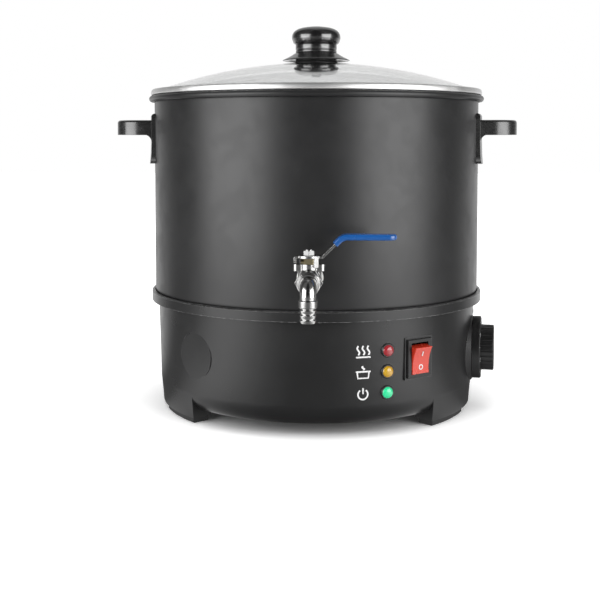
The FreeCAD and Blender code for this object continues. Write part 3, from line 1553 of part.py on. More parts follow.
def make_lid_glass():
    low, high, edge = glass_low_z, glass_high_z, glass_edge_radius
    low_sphere = dome_sphere - glass_thickness
    low_dome = math.sqrt(low_sphere ** 2 - (low - dome_centre_z) ** 2)
    hole = glass_hole_radius
    hole_top = dome_centre_z + math.sqrt(dome_sphere ** 2 - hole ** 2)
    bevel = glass_bevel
    return lathe(
        (hole, hole_top), dome_arc(hole, dome_radius, dome_centre_z, dome_sphere),
        (edge - bevel, high), (edge, high - bevel), (edge, low), (low_dome, low),
        dome_arc(low_dome, hole, dome_centre_z, low_sphere))


def make_lid_band():
    """A folded steel channel round the glass, with a lip that drops into the pot's mouth."""
    thick = band_thickness
    outer = band_outer_radius
    low = lid_bottom_z
    high = low + band_height
    edge = band_bend
    lip_outer = pot_inner_radius - lip_gap
    lip_inner = lip_outer - thick
    top_inner = outer - band_top_width
    return lathe(
        (lip_outer, low), (outer - edge, low), (outer, low + edge), (outer, high - edge),
        (outer - edge, high), (top_inner, high), (top_inner, high - thick),
        (outer - thick, high - thick), (outer - thick, low + thick), (lip_inner, low + thick),
        (lip_inner, low - lip_depth), (lip_outer, low - lip_depth))


def make_knob_gasket():
    """The rubber foot under the knob, hollowed to follow the dome."""
    bore = knob_screw_radius + knob_bore_play
    radius = knob_neck_radius - seat_gap
    foot = radius + gasket_flare
    sphere = dome_sphere + seat_gap / 2
    bore_z = dome_centre_z + math.sqrt(sphere ** 2 - bore ** 2)
    curve = dome_arc(bore, foot, dome_centre_z, sphere)
    edge_z = curve[1][1] + gasket_edge
    neck_middle = (foot, edge_z + gasket_flare)
    top = skirt_low_z
    return lathe(
        (bore, bore_z), curve, (foot, edge_z),
        (on_arc(neck_middle, gasket_flare, 225), on_arc(neck_middle, gasket_flare, 180)),
        (radius, top), (bore, top))


def make_knob_skirt():
    low, high = skirt_low_z, skirt_high_z
    bore = knob_screw_radius + knob_bore_play
    neck = knob_neck_radius
    wide = knob_skirt_radius
    drop = skirt_edge_drop
    return lathe(
        (bore, low), (neck - seat_gap, low), (neck + 1.2, low + 0.2 * knob_skirt_height),
        ((neck + 5.5, low - drop + 1.3), (wide - 0.2, low - drop)), (wide, low - drop + 0.6),
        ((neck + 5.2, low + 0.46 * knob_skirt_height), (neck, high - drop)), (neck - drop, high),
        (bore, high))


def make_knob_neck():
    low, high = skirt_high_z, neck_high_z
    bore = knob_screw_radius + knob_bore_play
    groove = neck_groove
    groove_z = low + 0.28 * knob_neck_height
    radius = knob_neck_radius
    return lathe(
        (bore, low), (radius - groove, low), (radius, low + groove), (radius, groove_z - groove),
        (radius - groove, groove_z), (radius, groove_z + groove), (radius, high - groove),
        (radius - groove, high), (bore, high))


def make_knob_cap():
    low = neck_high_z
    top = low + knob_cap_height
    wide = knob_cap_radius
    belly = low + 0.42 * knob_cap_height
    bore = knob_screw_radius + seat_gap
    bore_end = low + knob_screw_grip + seat_gap
    return lathe(
        (bore, low), (knob_neck_radius + 0.6, low), ((wide - 0.5, low + 3.0), (wide, belly)),
        ((wide - 3.4, top - 3.4), (wide - 9.5, top - 0.75)), ((wide / 4, top - 0.1), (0, top)),
        (0, bore_end + bore / 2), (bore, bore_end))


def make_knob_washer():
    """The dished steel washer under the glass."""
    bore = knob_screw_radius + 2 * seat_gap
    rim = washer_rim_z
    floor = washer_floor_z
    thick = washer_thickness
    flat = 0.62 * washer_radius
    bend = (washer_radius - 2.2, floor + 0.3 * washer_dish)
    inner_bend = (bend[0] - thick, bend[1] + thick)
    return lathe(
        (bore, floor), (flat, floor), (bend, (washer_radius, rim)), (washer_radius - thick, rim),
        (inner_bend, (flat - 0.3, floor + thick)), (bore, floor + thick))


def make_knob_screw():
    top = neck_high_z + knob_screw_grip
    return lathe(
        *pan_head(knob_screw_head, screw_head_height, washer_floor_z),
        (knob_screw_radius, washer_floor_z), (knob_screw_radius, top), (0, top))


# ---- One file for each node -----------------------------------------------------------
nodes = {
    "pot": make_pot(),
    "base_shell": make_base_shell(),
    "pot_ring": make_pot_ring(),
    "pot_collar": make_pot_collar(),
    "bottom_cover": make_bottom_cover(),
    "cover_screws": make_cover_screws(),
    "foot_pads": make_foot_pads(),
    "heater_plate": make_heater_plate(),
    "heating_element": make_heating_element(),
    "element_bushes": make_element_bushes(),
    "heat_shield": make_heat_shield(),
    "pot_studs": make_pot_studs(),
    "stud_nuts": make_stud_nuts(),
    "thermal_cutout": make_thermal_cutout(),
    "terminal_block": make_terminal_block(),
    "thermostat_body": make_thermostat_body(),
    "thermostat_screws": make_thermostat_screws(),
    "thermostat_bulb": make_thermostat_bulb(),
    "thermostat_shaft": make_thermostat_shaft(),
    "dial_knob": make_dial_knob(),
    "lamp_bezels": make_lamp_bezels(),
    "lamp_lens_red": make_lamp_lens(lamp_heights[0]),
    "lamp_lens_amber": make_lamp_lens(lamp_heights[1]),
    "lamp_lens_green": make_lamp_lens(lamp_heights[2]),
    "lamp_clips": make_lamp_clips(),
    "switch_housing": make_switch_housing(),
    "switch_terminals": make_switch_terminals(),
    "switch_paddle": make_switch_paddle(),
    "cable_gland": make_cable_gland(),
    "handle_right": make_handle(90),
    "handle_left": make_handle(-90),
    "handle_screws": make_handle_screws(),
    "valve_body": make_valve_body(),
    "valve_washers": make_valve_washers(),
    "valve_lock_nut": make_lock_nut(),
    "valve_seats": make_valve_seats(),
    "valve_ball": make_valve_ball(),
    "valve_stem": make_valve_stem(),
    "valve_gland_nut": make_gland_nut(),
    "valve_lever": make_lever(),
    "lever_sleeve": make_lever_sleeve(),
    "valve_stem_nut": make_stem_nut(),
    "valve_spout": make_valve_spout(),
    "lid_glass": make_lid_glass(),
    "lid_band": make_lid_band(),
    "knob_gasket": make_knob_gasket(),
    "knob_skirt": make_knob_skirt(),
    "knob_neck": make_knob_neck(),
    "knob_cap": make_knob_cap(),
    "knob_washer": make_knob_washer(),
    "knob_screw": make_knob_screw(),
}

for name, shape in nodes.items():
    shape.exportStep("parts/" + name + ".step")
    print(name, len(shape.Solids), "solids", round(shape.Volume / 1000, 2), "cm3",
          "" if shape.isValid() else "NOT VALID")
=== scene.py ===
import math
import bpy
from mathutils import Matrix, Vector


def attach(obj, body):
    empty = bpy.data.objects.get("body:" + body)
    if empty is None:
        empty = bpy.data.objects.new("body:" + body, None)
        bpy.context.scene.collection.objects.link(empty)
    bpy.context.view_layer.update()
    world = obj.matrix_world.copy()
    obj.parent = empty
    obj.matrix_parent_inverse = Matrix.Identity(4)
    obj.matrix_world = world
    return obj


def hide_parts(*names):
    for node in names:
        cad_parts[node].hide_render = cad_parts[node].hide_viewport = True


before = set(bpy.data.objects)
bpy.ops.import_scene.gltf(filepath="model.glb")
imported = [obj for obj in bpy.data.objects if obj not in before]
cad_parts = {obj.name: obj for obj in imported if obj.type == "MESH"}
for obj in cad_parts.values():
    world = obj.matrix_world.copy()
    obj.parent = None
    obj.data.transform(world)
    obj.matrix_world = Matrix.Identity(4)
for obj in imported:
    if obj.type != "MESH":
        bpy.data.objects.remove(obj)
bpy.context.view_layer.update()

mm = 0.001
print("frame loaded:", len(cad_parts), "nodes")


def newGroup(name, inputs, outputs):
    group = bpy.data.node_groups.new(name, "ShaderNodeTree")
    for label, value in inputs.items():
        socket = group.interface.new_socket(name=label, in_out="INPUT", socket_type="NodeSocketFloat")
        socket.default_value = value
    for label in outputs:
        group.interface.new_socket(name=label, in_out="OUTPUT", socket_type="NodeSocketFloat")
    return group, group.nodes.new("NodeGroupInput"), group.nodes.new("NodeGroupOutput")


def mathNode(tree, operation, first, second=None, third=None, clamp=False):
    node = tree.nodes.new("ShaderNodeMath")
    node.operation = operation
    node.use_clamp = clamp
    for place, value in enumerate((first, second, third)):
        if value is None:
            continue
        if isinstance(value, (int, float)):
            node.inputs[place].default_value = value
        else:
            tree.links.new(value, node.inputs[place])
    return node.outputs[0]


def spread(tree, value, low, high, toLow=0.0, toHigh=1.0):
    node = tree.nodes.new("ShaderNodeMapRange")
    node.inputs["From Min"].default_value = low
    node.inputs["From Max"].default_value = high
    node.inputs["To Min"].default_value = toLow
    node.inputs["To Max"].default_value = toHigh
    tree.links.new(value, node.inputs["Value"])
    return node.outputs["Result"]


def noise(tree, vector, scale, detail=2.0, roughness=0.5, distortion=0.0):
    node = tree.nodes.new("ShaderNodeTexNoise")
    node.inputs["Detail"].default_value = detail
    node.inputs["Roughness"].default_value = roughness
    node.inputs["Distortion"].default_value = distortion
    tree.links.new(vector, node.inputs["Vector"])
    if isinstance(scale, (int, float)):
        node.inputs["Scale"].default_value = scale
    else:
        tree.links.new(scale, node.inputs["Scale"])
    return node.outputs["Fac"]


def vectorNode(tree, operation, *vectors):
    node = tree.nodes.new("ShaderNodeVectorMath")
    node.operation = operation
    for place, vector in enumerate(vectors):
        tree.links.new(vector, node.inputs[place])
    return node.outputs


def splitVector(tree, vector):
    node = tree.nodes.new("ShaderNodeSeparateXYZ")
    tree.links.new(vector, node.inputs[0])
    return node.outputs


def flatVector(tree, x, y):
    node = tree.nodes.new("ShaderNodeCombineXYZ")
    tree.links.new(x, node.inputs["X"])
    tree.links.new(y, node.inputs["Y"])
    return node.outputs[0]


def objectCoordinates(tree):
    return tree.nodes.new("ShaderNodeTexCoord").outputs["Object"]


def putOutMask(group, entry, leave, mask):
    share = mathNode(group, "MULTIPLY", mask, entry.outputs["Amount"], clamp=True)
    group.links.new(share, leave.inputs["Mask"])


def makeGrain():
    # fine moulded or sprayed texture, with a slow change of tone over it
    group, entry, leave = newGroup("fineGrain", {"Scale": 1200.0, "Coarseness": 0.35}, ["Height", "Tone"])
    place = objectCoordinates(group)
    fine = noise(group, place, entry.outputs["Scale"], 3.0, 0.6)
    wide = noise(group, place, mathNode(group, "MULTIPLY", entry.outputs["Scale"], 0.21), 2.0)
    share = mathNode(group, "MULTIPLY", wide, entry.outputs["Coarseness"])
    group.links.new(mathNode(group, "ADD", fine, share), leave.inputs["Height"])
    slow = noise(group, place, 23.0, 4.0, 0.55)
    group.links.new(spread(group, slow, 0.32, 0.68), leave.inputs["Tone"])
    return group


def makeEdgeWearAndSheen():
    # where a corner rubs, and round the collar a painted highlight along its edges: the rounded normal
    # leaves the face's own normal
    inputs = {"Width": 0.0006, "Amount": 0.5, "Patchiness": 260.0}
    group, entry, leave = newGroup("edgeWearAndSheen", inputs, ["Mask"])
    rounded = group.nodes.new("ShaderNodeBevel")
    rounded.samples = 4
    group.links.new(entry.outputs["Width"], rounded.inputs["Radius"])
    plain = group.nodes.new("ShaderNodeNewGeometry")
    alike = vectorNode(group, "DOT_PRODUCT", rounded.outputs["Normal"], plain.outputs["Normal"])["Value"]
    edge = spread(group, alike, 0.995, 0.86)
    patches = noise(group, objectCoordinates(group), entry.outputs["Patchiness"], 4.0, 0.65)
    wornAndSheen = mathNode(group, "MULTIPLY", edge, spread(group, patches, 0.38, 0.62))
    putOutMask(group, entry, leave, wornAndSheen)
    return group


def makeDust():
    # fine dust that settles on what faces up
    group, entry, leave = newGroup("settledDust", {"Amount": 0.1, "Scale": 420.0}, ["Mask"])
    face = group.nodes.new("ShaderNodeNewGeometry")
    upward = spread(group, splitVector(group, face.outputs["Normal"])["Z"], 0.35, 0.95)
    place = objectCoordinates(group)
    specks = spread(group, noise(group, place, entry.outputs["Scale"], 5.0, 0.7), 0.47, 0.66)
    drift = spread(group, noise(group, place, 31.0, 3.0), 0.35, 0.7, 0.25, 1.0)
    dusty = mathNode(group, "MULTIPLY", mathNode(group, "MULTIPLY", specks, drift), upward)
    putOutMask(group, entry, leave, dusty)
    return group


def makeSmudges():
    # wiped patches and faint finger marks that change only the gloss
    group, entry, leave = newGroup("handlingSmudges", {"Scale": 60.0, "Amount": 0.5}, ["Mask"])
    place = objectCoordinates(group)
    patch = spread(group, noise(group, place, entry.outputs["Scale"], 3.0, 0.5, 0.6), 0.46, 0.64)
    ridges = group.nodes.new("ShaderNodeTexWave")
    ridges.inputs["Scale"].default_value = 340.0
    ridges.inputs["Distortion"].default_value = 7.0
    ridges.inputs["Detail"].default_value = 1.0
    group.links.new(place, ridges.inputs["Vector"])
    lines = spread(group, ridges.outputs["Fac"], 0.2, 0.8, 0.6, 1.0)
    marks = mathNode(group, "MULTIPLY", patch, lines)
    putOutMask(group, entry, leave, marks)
    return group


def makeTurning():
    # close rings left by the lathe or the polishing wheel round an axis
    group, entry, leave = newGroup("turningLines", {"Pitch": 2600.0, "Along": 0.0, "HeightPlace": 0.0},
                                   ["Height", "Streaks"])
    parts = splitVector(group, objectCoordinates(group))
    level = mathNode(group, "SUBTRACT", parts["Z"], entry.outputs["HeightPlace"])
    upright = mathNode(group, "SUBTRACT", 1.0, entry.outputs["Along"])
    # the axis runs along Z, or along Y when Along is one
    side = mathNode(group, "MULTIPLY", level, entry.outputs["Along"])
    side = mathNode(group, "ABSOLUTE", mathNode(group, "MULTIPLY_ADD", parts["Y"], upright, side))
    squares = [mathNode(group, "POWER", part, 2.0) for part in (parts["X"], side)]
    radius = mathNode(group, "SQRT", mathNode(group, "ADD", *squares))
    run = mathNode(group, "MULTIPLY", level, upright)
    run = mathNode(group, "MULTIPLY_ADD", parts["Y"], entry.outputs["Along"], run)
    rings = flatVector(group, radius, run)
    fine = noise(group, rings, entry.outputs["Pitch"], 2.0, 0.7)
    wide = noise(group, rings, mathNode(group, "MULTIPLY", entry.outputs["Pitch"], 0.17), 3.0, 0.6)
    group.links.new(mathNode(group, "ADD", fine, wide), leave.inputs["Height"])
    group.links.new(spread(group, wide, 0.35, 0.65), leave.inputs["Streaks"])
    return group


grainGroup = makeGrain()
wearAndSheenGroup = makeEdgeWearAndSheen()
dustGroup = makeDust()
smudgeGroup = makeSmudges()
turningGroup = makeTurning()
print("shader groups made")


def newMaterial(name):
    material = bpy.data.materials.new(name)
    material.use_nodes = True
    return material, material.node_tree


def usePart(tree, group, **values):
    node = tree.nodes.new("ShaderNodeGroup")
    node.node_tree = group
    for label, value in values.items():
        node.inputs[label].default_value = value
    return node


def blendColour(tree, mask, under, over):
    node = tree.nodes.new("ShaderNodeMix")
    node.data_type = "RGBA"
    tree.links.new(mask, node.inputs["Factor"])
    for place, value in ((6, under), (7, over)):  # the node's pair of colour inputs
        if isinstance(value, tuple):
            node.inputs[place].default_value = (*value, 1.0)
        else:
            tree.links.new(value, node.inputs[place])
    return node.outputs[2]


# how much each effect shows, alike on all finishes
feel = {"lineHeight": 1.6, "lineGloss": (-0.03, 0.05), "smudgeGloss": 0.22, "wornAndSheenGloss": -0.12,
        "dustGloss": 0.3, "dustColour": (0.42, 0.40, 0.37)}


def addBump(tree, shader, height, strength, distance):
    bump = tree.nodes.new("ShaderNodeBump")
    bump.inputs["Strength"].default_value = strength
    bump.inputs["Distance"].default_value = distance
    tree.links.new(height, bump.inputs["Height"])
    tree.links.new(bump.outputs["Normal"], shader.inputs["Normal"])
    return bump


def makeFinish(look):
    material, tree = newMaterial(look["name"])
    shader = tree.nodes["Principled BSDF"]
    for label, value in look.get("shader", {}).items():
        shader.inputs[label].default_value = value
    grain = usePart(tree, grainGroup, Scale=look["grain"], Coarseness=look.get("coarse", 0.35))
    colour = blendColour(tree, grain.outputs["Tone"], look["colour"], look["second"])
    height = grain.outputs["Height"]
    gloss = spread(tree, grain.outputs["Tone"], 0.0, 1.0, *look["rough"])
    if "turned" in look:
        lines = usePart(tree, turningGroup, **look["turned"])
        height = mathNode(tree, "MULTIPLY_ADD", lines.outputs["Height"], feel["lineHeight"], height)
        streaks = spread(tree, lines.outputs["Streaks"], 0.0, 1.0, *feel["lineGloss"])
        gloss = mathNode(tree, "ADD", gloss, streaks)
    if "smudge" in look:
        marks = usePart(tree, smudgeGroup, Scale=look.get("smudgeScale", 60.0), Amount=look["smudge"])
        smudged = marks.outputs["Mask"]
        gloss = mathNode(tree, "MULTIPLY_ADD", smudged, feel["smudgeGloss"], gloss, clamp=True)
    # edge wear; on the collar the same mask paints a highlight along its top and bottom edges
    if "wearAndSheen" in look:
        rubbedAndSheen = usePart(tree, wearAndSheenGroup, Width=look.get("wearAndSheenWidth", 0.0006), Amount=look["wearAndSheen"])
        colour = blendColour(tree, rubbedAndSheen.outputs["Mask"], colour, look["wornAndSheen"])
        gloss = mathNode(tree, "MULTIPLY_ADD", rubbedAndSheen.outputs["Mask"], feel["wornAndSheenGloss"], gloss)
    if "dust" in look:
        dust = usePart(tree, dustGroup, Amount=look["dust"])
        colour = blendColour(tree, dust.outputs["Mask"], colour, feel["dustColour"])
        gloss = mathNode(tree, "MULTIPLY_ADD", dust.outputs["Mask"], feel["dustGloss"], gloss, clamp=True)
    tree.links.new(colour, shader.inputs["Base Color"])
    tree.links.new(gloss, shader.inputs["Roughness"])
    bump = addBump(tree, shader, height, look["bump"], look.get("depth", 0.00004))
    if "edge" in look:  # corners that the eye sees as rounded
        rounded = tree.nodes.new("ShaderNodeBevel")
        rounded.samples = 6
        rounded.inputs["Radius"].default_value = look["edge"]
        tree.links.new(rounded.outputs["Normal"], bump.inputs["Normal"])
    return material


valveHeight = 0.1253  # in metres, as the shaders measure
looks = {
    "pot_coating": {
        "name": "satinPotCoating", "colour": (0.0115, 0.0115, 0.0119), "second": (0.0140, 0.0140, 0.0144),
        "rough": (0.33, 0.38), "grain": 2400.0, "bump": 0.10, "smudge": 0.25, "dust": 0.05, "wearAndSheen": 0.25,
        "wornAndSheen": (0.06, 0.06, 0.06), "shader": {"Specular IOR Level": 0.42}},
    "shell_plastic": {
        "name": "mouldedShellPlastic", "colour": (0.0105, 0.0105, 0.0108),
        "second": (0.0130, 0.0130, 0.0133), "rough": (0.27, 0.32), "grain": 3000.0, "coarse": 0.6,
        "bump": 0.16, "smudge": 0.2, "dust": 0.06, "wearAndSheen": 0.6, "wornAndSheen": (0.14, 0.14, 0.14),
        "shader": {"Specular IOR Level": 0.40}},
    "cover_plastic": {
        "name": "bottomCoverPlastic", "colour": (0.018, 0.018, 0.018), "second": (0.026, 0.026, 0.026),
        "rough": (0.48, 0.60), "grain": 1500.0, "coarse": 0.8, "bump": 0.3, "dust": 0.12, "wearAndSheen": 0.3,
        "wornAndSheen": (0.08, 0.08, 0.08)},
    "handle_resin": {
        "name": "handleResin", "colour": (0.0090, 0.0090, 0.0090), "second": (0.0125, 0.0125, 0.0125),
        "rough": (0.20, 0.27), "grain": 1700.0, "bump": 0.12, "smudge": 0.5, "dust": 0.05, "wearAndSheen": 0.35,
        "wornAndSheen": (0.05, 0.05, 0.05), "shader": {"Specular IOR Level": 0.7, "IOR": 1.6}},
    "knob_resin": {
        "name": "polishedKnobResin", "colour": (0.0070, 0.0070, 0.0072), "second": (0.0100, 0.0100, 0.0102),
        "rough": (0.16, 0.21), "grain": 900.0, "bump": 0.04, "smudge": 0.35, "dust": 0.05, "wearAndSheen": 0.15,
        "wornAndSheen": (0.04, 0.04, 0.04),
        "shader": {"Specular IOR Level": 0.75, "IOR": 1.65, "Coat Weight": 0.3, "Coat Roughness": 0.05}},
    "dial_plastic": {
        "name": "dialPlastic", "colour": (0.0085, 0.0085, 0.0088), "second": (0.0120, 0.0120, 0.0123),
        "rough": (0.33, 0.42), "grain": 2200.0, "bump": 0.15, "smudge": 0.5, "dust": 0.06, "wearAndSheen": 0.45,
        "wornAndSheen": (0.06, 0.06, 0.06), "shader": {"Specular IOR Level": 0.36}},
    "lamp_black": {
        "name": "fittingNylon", "colour": (0.0095, 0.0095, 0.0095), "second": (0.0140, 0.0140, 0.0140),
        "rough": (0.26, 0.34), "grain": 1900.0, "bump": 0.10, "smudge": 0.2, "dust": 0.06, "wearAndSheen": 0.2,
        "wornAndSheen": (0.05, 0.05, 0.05)},
    "switch_red": {
        "name": "rockerRed", "colour": (0.50, 0.030, 0.014), "second": (0.57, 0.040, 0.018),
        "rough": (0.20, 0.28), "grain": 1400.0, "bump": 0.06, "smudge": 0.5, "wearAndSheen": 0.25,
        "wornAndSheen": (0.80, 0.13, 0.06), "shader": {"Coat Weight": 0.15, "Coat Roughness": 0.2}},
    "foot_rubber": {
        "name": "footRubber", "colour": (0.012, 0.012, 0.012), "second": (0.020, 0.020, 0.020),
        "rough": (0.66, 0.80), "grain": 1300.0, "coarse": 0.9, "bump": 0.4, "dust": 0.1, "wearAndSheen": 0.4,
        "wornAndSheen": (0.06, 0.055, 0.05)},
    "heater_aluminium": {
        "name": "castHeaterAluminium", "colour": (0.62, 0.62, 0.62), "second": (0.70, 0.70, 0.69),
        "rough": (0.34, 0.46), "grain": 900.0, "coarse": 0.9, "bump": 0.35, "turned": {"Pitch": 1500.0},
        "wearAndSheen": 0.3, "wornAndSheen": (0.85, 0.85, 0.84), "shader": {"Metallic": 1.0}},
    "plated_steel": {
        "name": "zincPlatedSteel", "colour": (0.56, 0.57, 0.57), "second": (0.66, 0.64, 0.56),
        "rough": (0.26, 0.38), "grain": 1100.0, "bump": 0.12, "smudge": 0.4, "wearAndSheen": 0.4,
        "wornAndSheen": (0.82, 0.82, 0.80), "shader": {"Metallic": 1.0}},
    "stainless": {
        "name": "polishedStainless", "colour": (0.38, 0.378, 0.373), "second": (0.44, 0.438, 0.433),
        "rough": (0.15, 0.20), "grain": 1800.0, "bump": 0.05, "smudge": 0.3, "smudgeScale": 90.0,
        "turned": {"Pitch": 5200.0, "Along": 1.0, "HeightPlace": valveHeight}, "wearAndSheen": 0.3, "edge": 0.0007,
        "wornAndSheen": (0.60, 0.60, 0.59), "shader": {"Metallic": 1.0}},
    "lid_steel": {
        "name": "brightLidSteel", "colour": (0.74, 0.74, 0.735), "second": (0.80, 0.80, 0.795),
        "rough": (0.40, 0.46), "grain": 1600.0, "bump": 0.05, "turned": {"Pitch": 4200.0}, "smudge": 0.3,
        "wearAndSheen": 0.2, "wornAndSheen": (0.9, 0.9, 0.9), "shader": {"Metallic": 1.0}},
    "contact_brass": {
        "name": "terminalBrass", "colour": (0.66, 0.47, 0.19), "second": (0.74, 0.55, 0.25),
        "rough": (0.22, 0.34), "grain": 1500.0, "bump": 0.12, "wearAndSheen": 0.3, "wornAndSheen": (0.88, 0.72, 0.40),
        "shader": {"Metallic": 1.0}},
    "gland_brass": {
        "name": "packingNutBrass", "colour": (0.62, 0.52, 0.30), "second": (0.72, 0.63, 0.40),
        "rough": (0.14, 0.24), "grain": 1600.0, "bump": 0.10, "smudge": 0.4, "wearAndSheen": 0.4,
        "wornAndSheen": (0.86, 0.80, 0.62), "shader": {"Metallic": 1.0}},
    "seal_white": {
        "name": "ptfeSeal", "colour": (0.80, 0.80, 0.78), "second": (0.74, 0.74, 0.71),
        "rough": (0.34, 0.46), "grain": 1500.0, "bump": 0.12,
        "turned": {"Pitch": 2600.0, "Along": 1.0, "HeightPlace": valveHeight}, "wearAndSheen": 0.15,
        "wornAndSheen": (0.9, 0.9, 0.88)},
    "white_ceramic": {
        "name": "glazedCeramic", "colour": (0.78, 0.76, 0.71), "second": (0.70, 0.68, 0.62),
        "rough": (0.18, 0.34), "grain": 1100.0, "bump": 0.15, "wearAndSheen": 0.3, "wornAndSheen": (0.55, 0.53, 0.49)},
    "insulator": {
        "name": "phenolicInsulator", "colour": (0.075, 0.052, 0.040), "second": (0.105, 0.075, 0.056),
        "rough": (0.42, 0.56), "grain": 1400.0, "coarse": 0.8, "bump": 0.25, "wearAndSheen": 0.35,
        "wornAndSheen": (0.22, 0.17, 0.13)},
    "seal_black": {
        "name": "siliconeSeal", "colour": (0.014, 0.014, 0.014), "second": (0.020, 0.020, 0.020),
        "rough": (0.50, 0.62), "grain": 1500.0, "bump": 0.15, "dust": 0.15, "wearAndSheen": 0.1,
        "wornAndSheen": (0.05, 0.05, 0.05)},
    "washerGrey": {
        "name": "dishedWasherGrey", "colour": (0.40, 0.40, 0.40), "second": (0.46, 0.46, 0.46),
        "rough": (0.26, 0.36), "grain": 1500.0, "bump": 0.12, "wearAndSheen": 0.1, "wornAndSheen": (0.52, 0.52, 0.52)},
    # the stem nut gets a darker copy of the steel, a painted shade that holds back the white reflections it
    # would show
    "nutSteel": {
        "name": "shadedStemNutSteel", "colour": (0.17, 0.17, 0.168), "second": (0.21, 0.21, 0.208),
        "rough": (0.22, 0.30), "grain": 1500.0, "bump": 0.06, "smudge": 0.3, "edge": 0.0008, "wearAndSheen": 0.3,
        "wornAndSheen": (0.40, 0.40, 0.39), "shader": {"Metallic": 1.0}},
    "lever_blue": {
        "name": "dippedBlueVinyl", "colour": (0.005, 0.068, 0.25), "second": (0.008, 0.082, 0.30),
        "rough": (0.20, 0.30), "grain": 420.0, "coarse": 0.8, "bump": 0.18, "depth": 0.00008, "smudge": 0.4,
        "wearAndSheen": 0.2, "wornAndSheen": (0.06, 0.20, 0.50), "shader": {"Coat Weight": 0.35, "Coat Roughness": 0.12}},
    "printWhite": {
        "name": "padPrintWhite", "colour": (0.80, 0.80, 0.80), "second": (0.72, 0.72, 0.72),
        "rough": (0.38, 0.5), "grain": 2600.0, "bump": 0.1, "wearAndSheen": 0.25, "wornAndSheen": (0.45, 0.45, 0.45)},
}
# the collar's edges take a bright worn colour all round, a painted highlight along its top and bottom edges
looks["collarEdgeHighlightPlastic"] = {**looks["shell_plastic"], "name": "paintedHighlightCollarPlastic", "wearAndSheen": 1.0,
                          "wearAndSheenWidth": 0.0009, "wornAndSheen": (0.24, 0.24, 0.24)}
finishes = {slotName: makeFinish(look) for slotName, look in looks.items()}


def makeLensFinish(look):
    # tinted clear plastic with a painted glow, its colour and glow painted darker towards the rim where the
    # face turns from the eye
    material = makeFinish(look)
    tree = material.node_tree
    shader = tree.nodes["Principled BSDF"]
    facing = tree.nodes.new("ShaderNodeLayerWeight")
    facing.inputs["Blend"].default_value = 0.35
    under = shader.inputs["Base Color"].links[0].from_socket
    for middle, label in ((under, "Base Color"), (look["glow"], "Emission Color")):
        colour = blendColour(tree, facing.outputs["Facing"], middle, look["rim"])
        tree.links.new(colour, shader.inputs[label])
    return material


# each lens has its own colour, a darker rim colour painted where its face turns from the eye, and the
# colour of a painted glow
lensLooks = {
    "lens_red": {
        "name": "rubyLens", "colour": (0.27, 0.018, 0.024), "second": (0.33, 0.026, 0.032),
        "rim": (0.16, 0.004, 0.008), "glow": (0.55, 0.03, 0.045), "rough": (0.08, 0.14), "grain": 700.0,
        "bump": 0.05, "smudge": 0.3, "shader": {"Emission Strength": 0.10, "Coat Weight": 0.6}},
    "lens_amber": {
        "name": "amberLens", "colour": (0.44, 0.26, 0.014), "second": (0.50, 0.31, 0.020),
        "rim": (0.34, 0.12, 0.004), "glow": (0.80, 0.42, 0.03), "rough": (0.08, 0.14), "grain": 700.0,
        "bump": 0.05, "smudge": 0.3, "shader": {"Emission Strength": 0.08, "Coat Weight": 0.6}},
    "lens_green": {
        "name": "emeraldLens", "colour": (0.022, 0.52, 0.22), "second": (0.032, 0.58, 0.26),
        "rim": (0.010, 0.34, 0.15), "glow": (0.05, 0.80, 0.40), "rough": (0.08, 0.14), "grain": 700.0,
        "bump": 0.05, "smudge": 0.3, "shader": {"Emission Strength": 0.22, "Coat Weight": 0.6}},
}
for slotName, look in lensLooks.items():
    finishes[slotName] = makeLensFinish(look)


glassLook = {"name": "temperedLidGlass", "ior": 1.46, "grain": 140.0, "coarse": 0.3, "smudgeScale": 26.0,
             "smudge": 0.5, "smudgeGloss": 0.05, "colour": (0.955, 0.962, 0.960),
             "second": (0.968, 0.972, 0.972), "bump": 0.02, "depth": 0.00003}


def makeGlassFinish(look):
    # clear and faintly grey, with wiped patches that only touch its gloss
    material, tree = newMaterial(look["name"])
    shader = tree.nodes["Principled BSDF"]
    shader.inputs["Transmission Weight"].default_value = 1.0
    shader.inputs["IOR"].default_value = look["ior"]
    grain = usePart(tree, grainGroup, Scale=look["grain"], Coarseness=look["coarse"])
    colour = blendColour(tree, grain.outputs["Tone"], look["colour"], look["second"])
    marks = usePart(tree, smudgeGroup, Scale=look["smudgeScale"], Amount=look["smudge"])
    gloss = spread(tree, marks.outputs["Mask"], 0.0, 1.0, 0.0, look["smudgeGloss"])
    tree.links.new(colour, shader.inputs["Base Color"])
    tree.links.new(gloss, shader.inputs["Roughness"])
    addBump(tree, shader, grain.outputs["Height"], look["bump"], look["depth"])
    return material


finishes["clear_glass"] = makeGlassFinish(glassLook)
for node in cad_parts.values():
    for socket in node.material_slots:
        if socket.material and socket.material.name in finishes:
            socket.material = finishes[socket.material.name]
ownFinish = {"knob_washer": "washerGrey", "valve_stem_nut": "nutSteel", "pot_collar": "collarEdgeHighlightPlastic"}
for nodeName, finishName in ownFinish.items():
    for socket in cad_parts[nodeName].material_slots:
        socket.material = finishes[finishName]
print("finishes made:", len(finishes))


def clearSelection():
    bpy.ops.object.select_all(action="DESELECT")


def editMesh(action="SELECT"):
    bpy.ops.object.mode_set(mode="EDIT")
    bpy.ops.mesh.select_all(action=action)


def leaveEditing():
    bpy.ops.object.mode_set(mode="OBJECT")


def mergeDoubles():
    bpy.ops.mesh.remove_doubles(threshold=0.002 * mm)


def curveToMesh(curve):
    holder = bpy.data.objects.new(curve.name, curve)
    bpy.context.scene.collection.objects.link(holder)
    holder.select_set(True)
    bpy.context.view_layer.objects.active = holder
    bpy.ops.object.convert(target="MESH")
    return bpy.context.object


